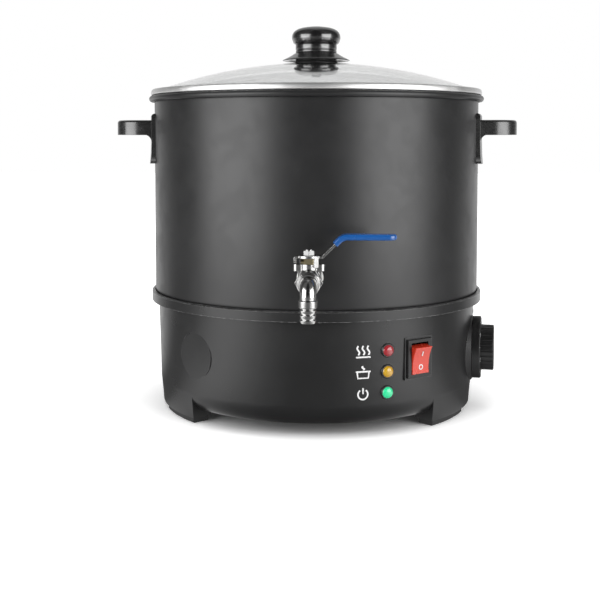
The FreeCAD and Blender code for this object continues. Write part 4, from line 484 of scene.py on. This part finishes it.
def arc(centre, radius, fromAngle, toAngle, steps):
    # points of a circle in (radius, height), its angles in degrees from straight out
    points = []
    for step in range(steps + 1):
        angle = math.radians(fromAngle + (toAngle - fromAngle) * step / steps)
        points.append((centre[0] + radius * math.cos(angle), centre[1] + radius * math.sin(angle)))
    return points


def domeArc(fromRadius, toRadius, centreHeight, sphere, steps):
    points = []
    for step in range(steps + 1):
        radius = fromRadius + (toRadius - fromRadius) * step / steps
        points.append((radius, centreHeight + math.sqrt(sphere ** 2 - radius ** 2)))
    return points


def finishMesh(piece, smoothAngle=32.0):
    editMesh()
    mergeDoubles()
    bpy.ops.mesh.normals_make_consistent(inside=False)
    leaveEditing()
    bpy.ops.object.shade_smooth_by_angle(angle=math.radians(smoothAngle))
    return piece


def turned(name, profile, segments=128, smoothAngle=32.0):
    # a ring is pulled from point to point of the profile, given in (radius, height) millimetres
    clearSelection()
    startPole = profile[0][0] == 0
    rings = profile[1:] if startPole else profile
    radius, height = rings[0]
    bpy.ops.mesh.primitive_circle_add(vertices=segments, radius=radius * mm, location=(0, 0, height * mm))
    piece = bpy.context.object
    piece.name = name
    bpy.ops.object.transform_apply(location=True)
    editMesh()
    for nextRadius, nextHeight in rings[1:]:
        rise = (nextHeight - height) * mm
        bpy.ops.mesh.extrude_region_move(TRANSFORM_OT_translate={"value": (0, 0, rise)})
        if nextRadius == 0:
            bpy.ops.mesh.merge(type="CENTER")
            break
        if nextRadius != radius:
            ratio = nextRadius / radius
            bpy.ops.transform.resize(value=(ratio, ratio, 1), center_override=(0, 0, nextHeight * mm))
        radius, height = nextRadius, nextHeight
    if startPole:
        bpy.ops.mesh.select_all(action="DESELECT")
        leaveEditing()
        for index in range(segments):
            piece.data.vertices[index].select = True
        bpy.ops.object.mode_set(mode="EDIT")
        drop = (profile[0][1] - rings[0][1]) * mm
        bpy.ops.mesh.extrude_region_move(TRANSFORM_OT_translate={"value": (0, 0, drop)})
        bpy.ops.mesh.merge(type="CENTER")
    leaveEditing()
    return finishMesh(piece, smoothAngle)


def fromAhead(bearing, distance, height):
    # a spot by its angle from straight ahead, to the right
    turn = math.radians(bearing)
    return Vector((math.sin(turn) * distance, -math.cos(turn) * distance, height))


def facingOut(bearing, distance, height):
    # a place on the wall: X runs to the right, Y up and Z straight out
    out = fromAhead(bearing, 1, 0)
    place = fromAhead(bearing, distance, height) * mm
    return Matrix(((-out.y, 0, out.x, place.x), (out.x, 0, out.y, place.y), (0, 1, 0, place.z),
                   (0, 0, 0, 1)))


def settle(piece, place):
    # carries a finished piece to its place and writes the place into its mesh
    clearSelection()
    piece.matrix_world = place @ piece.matrix_world
    piece.select_set(True)
    bpy.context.view_layer.objects.active = piece
    bpy.ops.object.transform_apply(location=True, rotation=True, scale=True)
    return piece


def copyOf(piece, name):
    twin = piece.copy()
    twin.data = piece.data.copy()
    twin.name = name
    bpy.context.scene.collection.objects.link(twin)
    return twin


def joinPieces(pieces, name):
    clearSelection()
    for piece in pieces:
        piece.select_set(True)
    bpy.context.view_layer.objects.active = pieces[0]
    bpy.ops.object.join()
    pieces[0].name = name
    return pieces[0]


def fit(piece, body, slotName, *nodes, finish=None):
    piece.data.materials.clear()
    piece.data.materials.append(finishes[finish or slotName])
    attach(piece, body)
    if nodes:
        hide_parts(*nodes)
    return piece


potSize = {"radius": 140.0, "wall": 1.5, "floorHeight": 94.0, "cornerRadius": 8.0, "rimHeight": 263.1,
           "rimRadius": 2.6, "rimOut": 142.0, "rimFlat": 1.6, "mouthRound": 1.9, "floorRings": (60, 110),
           "wallRings": (60, 120), "segments": 256}


def makePotShell(size):
    radius, wall, corner = size["radius"], size["wall"], size["cornerRadius"]
    low, bead, mouth = size["floorHeight"], size["rimRadius"], size["mouthRound"]
    inner = radius - wall
    rim = (size["rimOut"], size["rimHeight"])
    nearRing, farRing = size["floorRings"]
    lowRing, highRing = [low + rise for rise in size["wallRings"]]
    startAngle = math.degrees(math.asin(-math.sqrt(bead ** 2 - (rim[0] - radius) ** 2) / bead))
    profile = [(0, low), (nearRing, low), (farRing, low)]
    profile += arc((radius - corner, low + corner), corner, -90, 0, 10)
    profile += [(radius, lowRing), (radius, highRing)]
    profile += arc(rim, bead, -180 - startAngle, 90, 16)
    profile += [(rim[0] - size["rimFlat"], rim[1] + bead)]
    profile += arc((inner + mouth, rim[1] + bead - mouth), mouth, 90, 180, 5)
    profile += [(inner, highRing), (inner, lowRing)]
    profile += arc((radius - corner, low + corner), corner - wall, 0, -90, 10)
    profile += [(farRing, low + wall), (nearRing, low + wall), (0, low + wall)]
    return turned("potShell", profile, size["segments"], 40)


fit(makePotShell(potSize), "melter", "pot_coating", "pot")
print("pot made")


lidSize = {"glassLow": 266.7, "glassThickness": 3.4, "edgeRadius": 142.3, "edgeRound": 1.1,
           "domeRadius": 138.3, "rise": 24.5, "holeRadius": 3.4, "segments": 192}


def makeLidGlass(size):
    low = size["glassLow"]
    high = low + size["glassThickness"]
    top = high + size["rise"]
    edge, dome, hole = size["edgeRadius"], size["domeRadius"], size["holeRadius"]
    soft = size["edgeRound"]
    sphere = (dome ** 2 + size["rise"] ** 2) / (2 * size["rise"])
    centre = top - sphere
    innerSphere = sphere - size["glassThickness"]
    innerDome = math.sqrt(innerSphere ** 2 - (low - centre) ** 2)
    outside = domeArc(hole, dome, centre, sphere, 26)
    inside = domeArc(innerDome, hole, centre, innerSphere, 26)
    flat = arc((edge - soft, high - soft), soft, 90, 0, 4)
    flat += arc((edge - soft, low + soft), soft, 0, -90, 4)
    profile = outside + flat + inside + [outside[0]]
    return turned("lidGlass", profile, size["segments"], 50)


bandSize = {"low": 266.0, "height": 5.0, "outer": 143.0, "thickness": 0.6, "topWidth": 4.6,
            "lipOuter": 137.9, "lipDepth": 6.5, "fold": 1.3, "lean": 0.5, "leanAngle": 12,
            "bend": (0.5, 0.4), "segments": 256}


def makeLidBand(size):
    low, high, outer, thick = size["low"], size["low"] + size["height"], size["outer"], size["thickness"]
    fold, lean, leanAngle = size["fold"], size["lean"], size["leanAngle"]
    lip = size["lipOuter"]
    lipLow = low - size["lipDepth"]
    topInner = outer - size["topWidth"]
    middle = low + size["height"] / 2
    edge = thick / 2
    bendIn, bendDown = size["bend"]
    profile = [(lip, low)]
    profile += arc((outer - fold, low + fold), fold, -90, 0, 6)
    profile += [(outer, middle)]
    profile += arc((outer - fold - lean, high - fold), fold, leanAngle, 90, 6)
    profile += [(topInner + edge, high)] + arc((topInner + edge, high - edge), edge, 90, 270, 4)
    inFold = fold - thick
    profile += arc((outer - fold - lean, high - fold), inFold, 90, leanAngle, 4)
    profile += [(outer - thick, middle)]
    profile += arc((outer - fold, low + fold), inFold, 0, -90, 4)
    profile += [(lip - thick + bendIn, low + thick), (lip - thick, low + thick - bendDown)]
    profile += [(lip - thick, lipLow + edge)]
    profile += arc((lip - edge, lipLow + edge), edge, 180, 360, 4)
    profile += [(lip, low - bendDown), (lip, low)]
    return turned("lidBand", profile, size["segments"], 40)


fit(makeLidGlass(lidSize), "lid", "clear_glass", "lid_glass")
fit(makeLidBand(bandSize), "lid", "lid_steel", "lid_band")

knobSize = {"bore": 3.0, "skirtLow": 297.3, "skirtHeight": 6.6, "skirtRadius": 29.4, "neckRadius": 18.0,
            "neckHeight": 7.1, "capRadius": 21.2, "capHeight": 15.6, "segments": 128}


def makeKnob(size):
    bore, neck, wide = size["bore"], size["neckRadius"], size["skirtRadius"]
    low = size["skirtLow"]
    high = low + size["skirtHeight"]
    edge = low - 0.5
    skirt = [(bore, low), (neck - 0.4, low), (neck + 0.3, low + 0.35), (neck + 1.3, low + 1.45)]
    skirt += [(neck + 3.0, low + 1.35), (neck + 5.4, low + 0.75), (neck + 8.3, low + 0.05)]
    skirt += [(wide - 0.7, edge), (wide - 0.25, edge + 0.05), (wide, edge + 0.32)]
    skirt += [(wide - 0.2, edge + 0.62)]
    skirt += [(neck + 8.6, low + 1.45), (neck + 5.6, low + 2.95), (neck + 3.0, low + 4.45)]
    skirt += [(neck + 1.1, low + 5.75), (neck + 0.2, high - 0.45), (neck - 0.4, high), (bore, high)]
    skirt += [(bore, low)]
    pieces = {"knob_skirt": turned("knobSkirt", skirt, size["segments"], 45)}
    low = high
    high = low + size["neckHeight"]
    ring = [(bore, low), (neck - 0.7, low), (neck - 0.15, low + 0.2), (neck, low + 0.6), (neck, low + 1.3)]
    ring += [(neck - 0.15, low + 1.55), (neck - 0.5, low + 1.75), (neck - 0.5, low + 2.05)]
    ring += [(neck - 0.15, low + 2.25), (neck, low + 2.5), (neck, high - 0.7), (neck - 0.2, high - 0.2)]
    ring += [(neck - 0.6, high), (bore, high), (bore, low)]
    pieces["knob_neck"] = turned("knobNeck", ring, size["segments"], 45)
    low = high
    top = low + size["capHeight"]
    wide = size["capRadius"]
    # the screw's blind hole comes first, then the outside from below
    cap = [(0, low + 9), (bore * 0.9, low + 8), (bore, low + 7.5), (bore, low), (neck + 0.2, low)]
    cap += [(neck + 0.8, low + 0.25), (neck + 1.9, low + 1.3), (wide - 0.75, low + 2.8)]
    cap += [(wide - 0.15, low + 4.7), (wide, low + 6.4), (wide - 0.25, low + 8.2)]
    cap += [(wide - 1.05, low + 10.0), (wide - 2.55, low + 11.75), (wide - 4.9, low + 13.2)]
    cap += [(wide - 7.9, low + 14.2)]
    cap += [(wide - 11.6, low + 14.85), (wide - 16.0, top - 0.1), (0, top)]
    pieces["knob_cap"] = turned("knobCap", cap, size["segments"], 50)
    return pieces


for nodeName, piece in makeKnob(knobSize).items():
    fit(piece, "lid", "knob_resin", nodeName)
print("lid made")


wallSize = {"low": 26.0, "lowRadius": 135.5, "tall": 65.5, "flare": 1.85}


def wallRadius(height):
    return wallSize["lowRadius"] + (height - wallSize["low"]) / wallSize["tall"] * wallSize["flare"]


lampSize = {"bearing": 25.5, "heights": {"lens_red": 67.35, "lens_amber": 51.0, "lens_green": 34.65},
            "lensRadius": 4.4, "stem": 3.1, "stemLength": 6.0, "shoulder": 0.8, "rise": 1.9, "facets": 12,
            "facetRings": ((0.93, 0.32), (0.66, 0.80), (0.44, 0.97)), "padProud": 0.25, "bezel": 1.2,
            "sunk": 0.7}


def makeLens(name, size):
    # a jewelled lens: flat table, a ring of facets and a stem in the bezel
    wide, rise, shoulder, stem = size["lensRadius"], size["rise"], size["shoulder"], size["stem"]
    low = -size["stemLength"]
    profile = [(0, low), (stem, low), (stem, 0), (wide, 0), (wide, shoulder)]
    profile += [(wide * across, shoulder + rise * up) for across, up in size["facetRings"]]
    profile += [(0, shoulder + rise)]
    return turned(name, profile, size["facets"] * 4, 20)


for slotName, height in lampSize["heights"].items():
    lens = makeLens("lamp" + slotName.split("_")[1].capitalize(), lampSize)
    out = wallRadius(height) + lampSize["padProud"] + lampSize["bezel"] - lampSize["sunk"]
    settle(lens, facingOut(lampSize["bearing"], out, height))
    fit(lens, "melter", slotName, "lamp_" + slotName)
print("lamps made")


# shares of the head's radius and height, of the shank's radius and of the thread's pitch
screwShares = {"headCurve": ((1, 0.28), (0.97, 0.5), (0.86, 0.78), (0.64, 0.95), (0.36, 1), (0, 1)),
               "point": 0.55, "root": 0.86, "crest": (0.35, 0.5), "slot": (1.15, 0.24, 1.1)}
slotRound = 0.08


def makePanScrew(name, size):
    # pan head with a cross recess, its seat at height 0 and its shank below
    head, high, shank, length = size["headRadius"], size["headHeight"], size["shankRadius"], size["length"]
    pitch = size["pitch"]
    root = shank * screwShares["root"]
    profile = [(0, -length), (shank * screwShares["point"], -length), (root, -length + pitch)]
    level = -length + pitch
    while level + pitch < -0.6:
        profile += [(shank, level + pitch * share) for share in screwShares["crest"]]
        profile += [(root, level + pitch)]
        level += pitch
    profile += [(shank, -0.3), (shank, 0), (head - 0.15, 0), (head, 0.2)]
    profile += [(head * across, high * up) for across, up in screwShares["headCurve"]]
    screw = turned(name, profile, 40, 34)
    clearSelection()
    bpy.ops.mesh.primitive_cube_add(size=1, location=(0, 0, high * mm))
    blade = bpy.context.object
    across, wide, tall = screwShares["slot"]
    blade.dimensions = (head * across * mm, head * wide * mm, high * tall * mm)
    bpy.ops.object.transform_apply(location=True, rotation=True, scale=True)
    editMesh()
    bpy.ops.mesh.bevel(offset=slotRound * mm, segments=2)
    leaveEditing()
    for turn in (0, 90):
        cutter = copyOf(blade, name + "Cross")
        settle(cutter, Matrix.Rotation(math.radians(turn), 4, "Z"))
        clearSelection()
        bpy.context.view_layer.objects.active = screw
        screw.select_set(True)
        cut = screw.modifiers.new("cross", "BOOLEAN")
        cut.operation = "DIFFERENCE"
        cut.object = cutter
        bpy.ops.object.modifier_apply(modifier=cut.name)
        bpy.data.objects.remove(cutter)
    bpy.data.objects.remove(blade)
    return screw


def copyScrews(name, size, places):
    # one screw is modelled and copied, its head towards the pot's inside or the floor
    pattern = makePanScrew(name, size)
    headDown = Matrix.Rotation(math.radians(180), 4, "X")
    screws = []
    for place, turn in places:
        cross = Matrix.Rotation(turn, 4, "Z")
        screws.append(settle(copyOf(pattern, name + "Copy"), place @ headDown @ cross))
    bpy.data.objects.remove(pattern)
    return joinPieces(screws, name + "s")


handleScrewSize = {"headRadius": 4.2, "headHeight": 2.6, "shankRadius": 2.0, "length": 14.0, "pitch": 1.0,
                   "height": 238.7, "spread": 8.4, "seat": 138.35, "crossTurn": 20, "crossStep": 3}


def makeHandleScrews(size):
    places = []
    for side in (90, -90):
        for turn in (-size["spread"], size["spread"]):
            cross = math.radians(size["crossTurn"] + size["crossStep"] * turn)
            places.append((facingOut(side + turn, size["seat"], size["height"]), cross))
    return copyScrews("handleScrew", size, places)


coverScrewSize = {"headRadius": 3.08, "headHeight": 1.6, "shankRadius": 1.4, "length": 13.0, "pitch": 0.9,
                  "circle": 109.0, "height": 9.0, "crossTurn": 0.3, "crossStep": 0.7}


def makeCoverScrews(size):
    places = []
    for bearing in (0, 90, 180, 270):
        place = fromAhead(bearing, size["circle"] * mm, size["height"] * mm)
        cross = math.radians(bearing) * size["crossStep"] + size["crossTurn"]
        places.append((Matrix.Translation(place), cross))
    return copyScrews("coverScrew", size, places)


fit(makeHandleScrews(handleScrewSize), "melter", "stainless", "handle_screws")
fit(makeCoverScrews(coverScrewSize), "melter", "plated_steel", "cover_screws")
print("screws made")


printSize = {"thickness": 0.12, "proud": 0.10}


def makeBar(name, width, height, x, y, thickness=printSize["thickness"]):
    # one stroke of a printed mark, on the XY plane in millimetres, with round ends
    clearSelection()
    bpy.ops.mesh.primitive_cube_add(size=1, location=(0, 0, 0))
    bar = bpy.context.object
    bar.name = name
    bar.dimensions = (width * mm, height * mm, thickness * mm)
    bpy.ops.object.transform_apply(location=True, rotation=True, scale=True)
    editMesh("DESELECT")
    leaveEditing()
    for edge in bar.data.edges:
        ends = [bar.data.vertices[index].co for index in edge.vertices]
        if abs(ends[0].z - ends[1].z) > 0.5 * thickness * mm:
            edge.select = True
    bpy.ops.object.mode_set(mode="EDIT")
    bpy.ops.mesh.select_mode(type="EDGE")
    bpy.ops.mesh.bevel(offset=0.49 * min(width, height) * mm, segments=4)
    bpy.ops.mesh.select_mode(type="VERT")
    leaveEditing()
    settle(bar, Matrix.Translation(Vector((x * mm, y * mm, 0))))
    return finishMesh(bar, 40)


def makeStroke(name, points, width, thickness=printSize["thickness"]):
    # a printed line through the points, on the XY plane
    clearSelection()
    line = bpy.data.curves.new(name, "CURVE")
    line.dimensions = "2D"
    line.fill_mode = "BOTH"
    line.extrude = thickness / 2 * mm
    spline = line.splines.new("POLY")
    spline.points.add(len(points) - 1)
    for point, (x, y) in zip(spline.points, points):
        point.co = (x * mm, y * mm, 0, 1)
    stroke = curveToMesh(line)
    editMesh()
    mergeDoubles()
    leaveEditing()
    solid = stroke.modifiers.new("width", "SOLIDIFY")
    solid.thickness = width * mm
    solid.offset = 0
    bpy.ops.object.modifier_apply(modifier=solid.name)
    return finishMesh(stroke, 40)


def makeRing(name, radius, width, x, y, fromAngle=0.0, toAngle=360.0, thickness=printSize["thickness"]):
    steps = max(12, int(abs(toAngle - fromAngle) / 8))
    return makeStroke(name, arc((x, y), radius, fromAngle, toAngle, steps), width, thickness)


def wrapOnWall(mark, bearing, height, proud=printSize["proud"]):
    # lays a flat mark round the tapered wall
    for vertex in mark.data.vertices:
        level = height + vertex.co.y / mm
        radius = wallRadius(level) + proud + vertex.co.z / mm
        around = bearing + math.degrees(vertex.co.x / mm / wallRadius(level))
        vertex.co = fromAhead(around, radius, level) * mm
    return mark


markSize = {"bearing": 17.1, "scale": 1.22, "stroke": 1.0, "height": 7.6,
            "waveStep": 3.3, "waveLow": 1.9, "waveSwing": 0.75, "barWidth": 9.6, "barRise": 0.5,
            "panMouth": 3.9, "panFloor": 3.4, "panRim": 0.6, "lidWidth": 9.8, "lidRise": 0.9,
            "steamLow": 2.0, "steamTall": 2.2, "steamSwing": 0.8,
            "ringInset": 0.6, "ringDrop": 0.2, "ringEnds": (125, 415), "tick": 4.0, "tickRise": 2.0}


def makeWave(name, place, low, tall, swing, steps, width):
    # one rising double bend
    points = []
    for step in range(steps + 1):
        sway = swing * math.sin(step / steps * 2 * math.pi)
        points.append((place + sway, low + tall * step / steps))
    return makeStroke(name, points, width)


def makeHeatMark(size):
    # three rising waves over a bar
    half, stroke = size["height"] / 2, size["stroke"]
    low = -half + size["waveLow"]
    tall = size["height"] - size["waveLow"]
    waves = []
    for place in (-size["waveStep"], 0, size["waveStep"]):
        waves.append(makeWave("heatWave", place, low, tall, size["waveSwing"], 16, stroke))
    waves.append(makeBar("heatBar", size["barWidth"], stroke, 0, -half + size["barRise"]))
    return joinPieces(waves, "heatMark")


def makeWarmMark(size):
    # a small pan with one wave over it
    stroke, mouth, floor, rim = size["stroke"], size["panMouth"], size["panFloor"], size["panRim"]
    low = -size["height"] / 2 + size["barRise"]
    pan = makeStroke("warmPan", [(-mouth, rim), (-floor, low), (floor, low), (mouth, rim)], stroke)
    lid = makeBar("warmLid", size["lidWidth"], stroke, 0, size["lidRise"])
    steam = makeWave("warmWave", 0, size["steamLow"], size["steamTall"], size["steamSwing"], 12, stroke)
    return joinPieces([pan, lid, steam], "warmMark")


def makeStandbyMark(size):
    radius = size["height"] / 2 - size["ringInset"]
    ring = makeRing("standbyRing", radius, size["stroke"], 0, -size["ringDrop"], *size["ringEnds"])
    tick = makeBar("standbyTick", size["stroke"], size["tick"], 0, size["tickRise"])
    return joinPieces([ring, tick], "standbyMark")


for maker, height in zip((makeHeatMark, makeWarmMark, makeStandbyMark), lampSize["heights"].values()):
    mark = settle(maker(markSize), Matrix.Diagonal((markSize["scale"], markSize["scale"], 1, 1)))
    wrapOnWall(mark, markSize["bearing"], height)
    fit(mark, "melter", "shell_plastic", finish="printWhite")
print("marks made")


paddleSize = {"bearing": 37.5, "pivotDistance": 133.5, "pivotHeight": 59.0, "tilt": 11.0,
              "faceDistance": 7.62, "half": 11.2, "hollow": 2.0, "hollowStart": 0.72, "markThickness": 0.2,
              "onBar": (0.9, 4.0), "onPlace": (5.4, 0.12), "offRing": (1.75, 0.75),
              "offPlace": (-5.6, 0.16)}


def paddlePlace(size, rise, proud):
    # a spot on the paddle's hollow face, measured from its pin
    lean = Matrix.Rotation(math.radians(size["tilt"]), 4, "X")
    hollow, half = size["hollow"], size["half"]
    curve = hollow * (rise / half) ** 2 - size["hollowStart"]
    spot = Matrix.Translation(Vector((0, rise * mm, (size["faceDistance"] + curve + proud) * mm)))
    follow = Matrix.Rotation(math.atan(2 * hollow * rise / half ** 2), 4, "X")
    return facingOut(size["bearing"], size["pivotDistance"], size["pivotHeight"]) @ lean @ spot @ follow


thick = paddleSize["markThickness"]
onMark = makeBar("onMark", *paddleSize["onBar"], 0, 0, thick)
offMark = makeRing("offMark", *paddleSize["offRing"], 0, 0, thickness=thick)
for mark, place in ((onMark, paddleSize["onPlace"]), (offMark, paddleSize["offPlace"])):
    fit(settle(mark, paddlePlace(paddleSize, *place)), "rocker", "switch_red", finish="printWhite")


dialSize = {"bearing": 81.0, "height": 51.0, "scaleFace": 144.24, "numberRing": 22.3, "tickLength": 1.2,
            "tickOuter": 25.8, "tickWidth": 0.5, "tickThickness": 0.1, "shortTick": 0.6, "sweep": 270.0,
            "numbers": ["30", "45", "60", "75", "90", "105"], "textSize": 3.1, "textDepth": 0.05,
            "grooveFace": 154.53, "pointer": (1.7, 13.6), "pointerMiddle": 11.4, "pointerThickness": 0.25,
            "index": (1.2, 4.0), "indexHeight": 81.5, "indexProud": 0.12}


def makeNumber(text, size):
    clearSelection()
    letters = bpy.data.curves.new("number" + text, "FONT")
    letters.body = text
    letters.size = size["textSize"] * mm
    letters.align_x = "CENTER"
    letters.align_y = "CENTER"
    letters.extrude = size["textDepth"] * mm
    letters.resolution_u = 3
    return finishMesh(curveToMesh(letters), 40)


def makeDialScale(size):
    # plain numbers and ticks round the skirt, read against the mark on the wall above
    parts = []
    count = len(size["numbers"])
    face = facingOut(size["bearing"], size["scaleFace"], size["height"])
    for index, text in enumerate(size["numbers"]):
        spin = Matrix.Rotation(math.radians(size["sweep"] * index / (count - 1)), 4, "Z")
        lift = Matrix.Translation(Vector((0, size["numberRing"] * mm, 0)))
        parts.append(settle(makeNumber(text, size), face @ spin @ lift))
    for index in range(2 * count - 1):
        spin = Matrix.Rotation(math.radians(size["sweep"] * index / (2 * count - 2)), 4, "Z")
        length = size["tickLength"] * (size["shortTick"] if index % 2 else 1)
        middle = size["tickOuter"] - length / 2
        tick = makeBar("dialTick", size["tickWidth"], length, 0, middle, size["tickThickness"])
        parts.append(settle(tick, face @ spin))
    return joinPieces(parts, "dialScale")


fit(makeDialScale(dialSize), "dial", "dial_plastic", finish="printWhite")


def makePointerFill(size):
    # white paint in the groove across the grip
    bar = makeBar("pointerFill", *size["pointer"], 0, size["pointerMiddle"], size["pointerThickness"])
    return settle(bar, facingOut(size["bearing"], size["grooveFace"], size["height"]))


fit(makePointerFill(dialSize), "dial", "dial_plastic", finish="printWhite")
indexMark = makeBar("dialIndex", *dialSize["index"], 0, 0)
wrapOnWall(indexMark, dialSize["bearing"], dialSize["indexHeight"], dialSize["indexProud"])
fit(indexMark, "melter", "shell_plastic", finish="printWhite")
print("switch and dial marks made")


def toneByBearing(tree, vector, stops):
    # a grey level by the angle from straight ahead, the same on both sides
    parts = splitVector(tree, vector)
    unit = vectorNode(tree, "NORMALIZE", flatVector(tree, parts["X"], parts["Y"]))[0]
    ramp = tree.nodes.new("ShaderNodeValToRGB")
    marks = ramp.color_ramp.elements
    for angle, level in stops[1:-1]:
        mark = marks.new((1 - math.cos(math.radians(angle))) / 2)
        mark.color = (level, level, level, 1)
    for mark, level in ((marks[0], stops[0][1]), (marks[-1], stops[-1][1])):
        mark.color = (level, level, level, 1)
    tree.links.new(spread(tree, splitVector(tree, unit)["Y"], -1.0, 1.0), ramp.inputs["Fac"])
    return ramp.outputs["Color"]


stageSize = {"floor": 12.0, "drop": 0.0002, "floorColour": 0.80, "seenColour": 1.22, "mirroredColour": 0.10,
             "paintedShadowFadeStart": 0.112, "paintedShadowFadeEnd": 0.135, "liftStart": 0.118, "liftEnd": 0.30, "liftPower": 0.8,
             "nearEdge": 0.14, "farEdge": 0.26, "nearShare": 0.35, "glossGain": 2.3,
             "gloss": [(0, 0.06), (10, 0.06), (30, 0.35), (45, 0.9), (58, 1.0), (70, 0.6), (82, 0.12),
                       (104, 0.04), (118, 0.25), (140, 0.5), (180, 0.5)]}


def makeFloor(size):
    clearSelection()
    bpy.ops.mesh.primitive_plane_add(size=size["floor"], location=(0, 0, -size["drop"]))
    floor = bpy.context.object
    floor.name = "studioFloor"
    material, tree = newMaterial("paperFloor")
    tree.nodes.clear()
    out = tree.nodes.new("ShaderNodeOutputMaterial")
    paper = tree.nodes.new("ShaderNodeBsdfDiffuse")
    light = tree.nodes.new("ShaderNodeLightPath")
    seen = mathNode(tree, "MAXIMUM", light.outputs["Is Camera Ray"], light.outputs["Is Transmission Ray"])
    mirror = light.outputs["Is Glossy Ray"]
    reach = vectorNode(tree, "LENGTH", objectCoordinates(tree))["Value"]
    # the camera sees the floor darker under the base than further out, a painted shadow laid over the real
    # one
    extra = size["seenColour"] - size["floorColour"]
    paleBeyondPaintedShadow = spread(tree, reach, size["paintedShadowFadeStart"], size["paintedShadowFadeEnd"], 0.0, extra)
    tone = mathNode(tree, "MULTIPLY_ADD", seen, paleBeyondPaintedShadow, size["floorColour"])
    tone = mathNode(tree, "MULTIPLY_ADD", mirror, size["mirroredColour"] - size["floorColour"], tone)
    grey = tree.nodes.new("ShaderNodeCombineColor")
    for place in range(3):
        tree.links.new(tone, grey.inputs[place])
    tree.links.new(grey.outputs[0], paper.inputs["Color"])
    # far from the object the sheet runs out into the white backdrop: a painted glow that grows with the
    # distance and leaves the floor round the base darker
    far = spread(tree, reach, size["liftStart"], size["liftEnd"])
    far = mathNode(tree, "POWER", far, size["liftPower"])
    # polished surfaces see it by bearing, weaker close to the object
    mirrored = toneByBearing(tree, objectCoordinates(tree), size["gloss"])
    mirrored = mathNode(tree, "MULTIPLY", mirror, mirrored)
    gain = size["glossGain"]
    near = spread(tree, reach, size["nearEdge"], size["farEdge"], size["nearShare"] * gain, gain)
    mirrored = mathNode(tree, "MULTIPLY", mirrored, near)
    glow = tree.nodes.new("ShaderNodeEmission")
    tree.links.new(mathNode(tree, "MULTIPLY_ADD", seen, far, mirrored), glow.inputs["Strength"])
    both = tree.nodes.new("ShaderNodeAddShader")
    tree.links.new(paper.outputs[0], both.inputs[0])
    tree.links.new(glow.outputs[0], both.inputs[1])
    tree.links.new(both.outputs[0], out.inputs["Surface"])
    floor.data.materials.append(material)


makeFloor(stageSize)

worldSize = {"fill": 0.30, "dimFrom": 0.10, "dimTo": 0.34, "dimmed": 0.65,
             "gloss": [(0, 0.02), (20, 0.02), (42, 0.30), (85, 0.30), (102, 0.12), (122, 0.12), (140, 0.75),
                       (155, 1.0), (180, 1.0)]}


def makeWorld(size):
    world = bpy.data.worlds.new("studioWorld")
    bpy.context.scene.world = world
    world.use_nodes = True
    tree = world.node_tree
    tree.nodes.clear()
    out = tree.nodes.new("ShaderNodeOutputWorld")
    # polished surfaces see a dark front, pale sides and a white back
    direction = tree.nodes.new("ShaderNodeTexCoord").outputs["Generated"]
    mirrored = toneByBearing(tree, direction, size["gloss"])
    high = splitVector(tree, direction)["Z"]
    high = spread(tree, high, size["dimFrom"], size["dimTo"], 1.0, size["dimmed"])
    mirrored = mathNode(tree, "MULTIPLY", mirrored, high)
    path = tree.nodes.new("ShaderNodeLightPath")
    clear = mathNode(tree, "MAXIMUM", path.outputs["Is Camera Ray"], path.outputs["Is Transmission Ray"])
    mirrored = mathNode(tree, "SUBTRACT", mirrored, size["fill"])
    strength = mathNode(tree, "MULTIPLY_ADD", path.outputs["Is Glossy Ray"], mirrored, size["fill"])
    strength = mathNode(tree, "MULTIPLY_ADD", mathNode(tree, "SUBTRACT", 1.0, clear), strength, clear)
    background = tree.nodes.new("ShaderNodeBackground")
    background.inputs["Color"].default_value = (1, 1, 1, 1)
    tree.links.new(strength, background.inputs["Strength"])
    tree.links.new(background.outputs[0], out.inputs[0])


makeWorld(worldSize)

aimHeight = 0.17
sideBox = {"distance": 1.25, "height": 0.36, "width": 1.10, "tall": 0.95, "radiance": 4.8, "mirrored": True}
lights = {
    "softBoxRight": {"azimuth": 53.0, **sideBox},
    "softBoxLeft": {"azimuth": -52.0, **sideBox},
    "topSoftBox": {"azimuth": 0.0, "distance": 0.0, "height": 1.6, "width": 1.3, "tall": 1.3,
                   "radiance": 1.6, "mirrored": False},
}


def makeLight(name, size):
    clearSelection()
    place = fromAhead(size["azimuth"], size["distance"], size["height"])
    bpy.ops.object.light_add(type="AREA", location=place)
    light = bpy.context.object
    light.name = name
    light.data.shape = "RECTANGLE"
    light.data.size = size["width"]
    light.data.size_y = size["tall"]
    light.data.energy = size["radiance"] * size["width"] * size["tall"] * math.pi
    aim = Vector((0, 0, aimHeight)) - place
    light.rotation_euler = aim.to_track_quat("-Z", "Y").to_euler()
    light.visible_camera = False
    light.visible_glossy = size["mirrored"]
    light.visible_transmission = size["mirrored"]


for lightName, size in lights.items():
    makeLight(lightName, size)

cameraSize = {"azimuth": 1.8, "distance": 0.9339, "height": 0.2298, "focal": 63.85, "sensor": 36.0,
              "shift": -0.1708, "tilt": 3.2, "yaw": 0.867}


def makeCamera(size):
    data = bpy.data.cameras.new("studioCamera")
    data.lens = size["focal"]
    data.sensor_width = size["sensor"]
    data.shift_y = size["shift"]
    camera = bpy.data.objects.new("studioCamera", data)
    bpy.context.scene.collection.objects.link(camera)
    camera.location = fromAhead(size["azimuth"], size["distance"], size["height"])
    turns = (90 - size["tilt"], 0, size["azimuth"] + size["yaw"])
    camera.rotation_euler = [math.radians(turn) for turn in turns]
    bpy.context.scene.camera = camera


makeCamera(cameraSize)
bpy.context.scene.view_settings.view_transform = "Standard"
print("stage set")
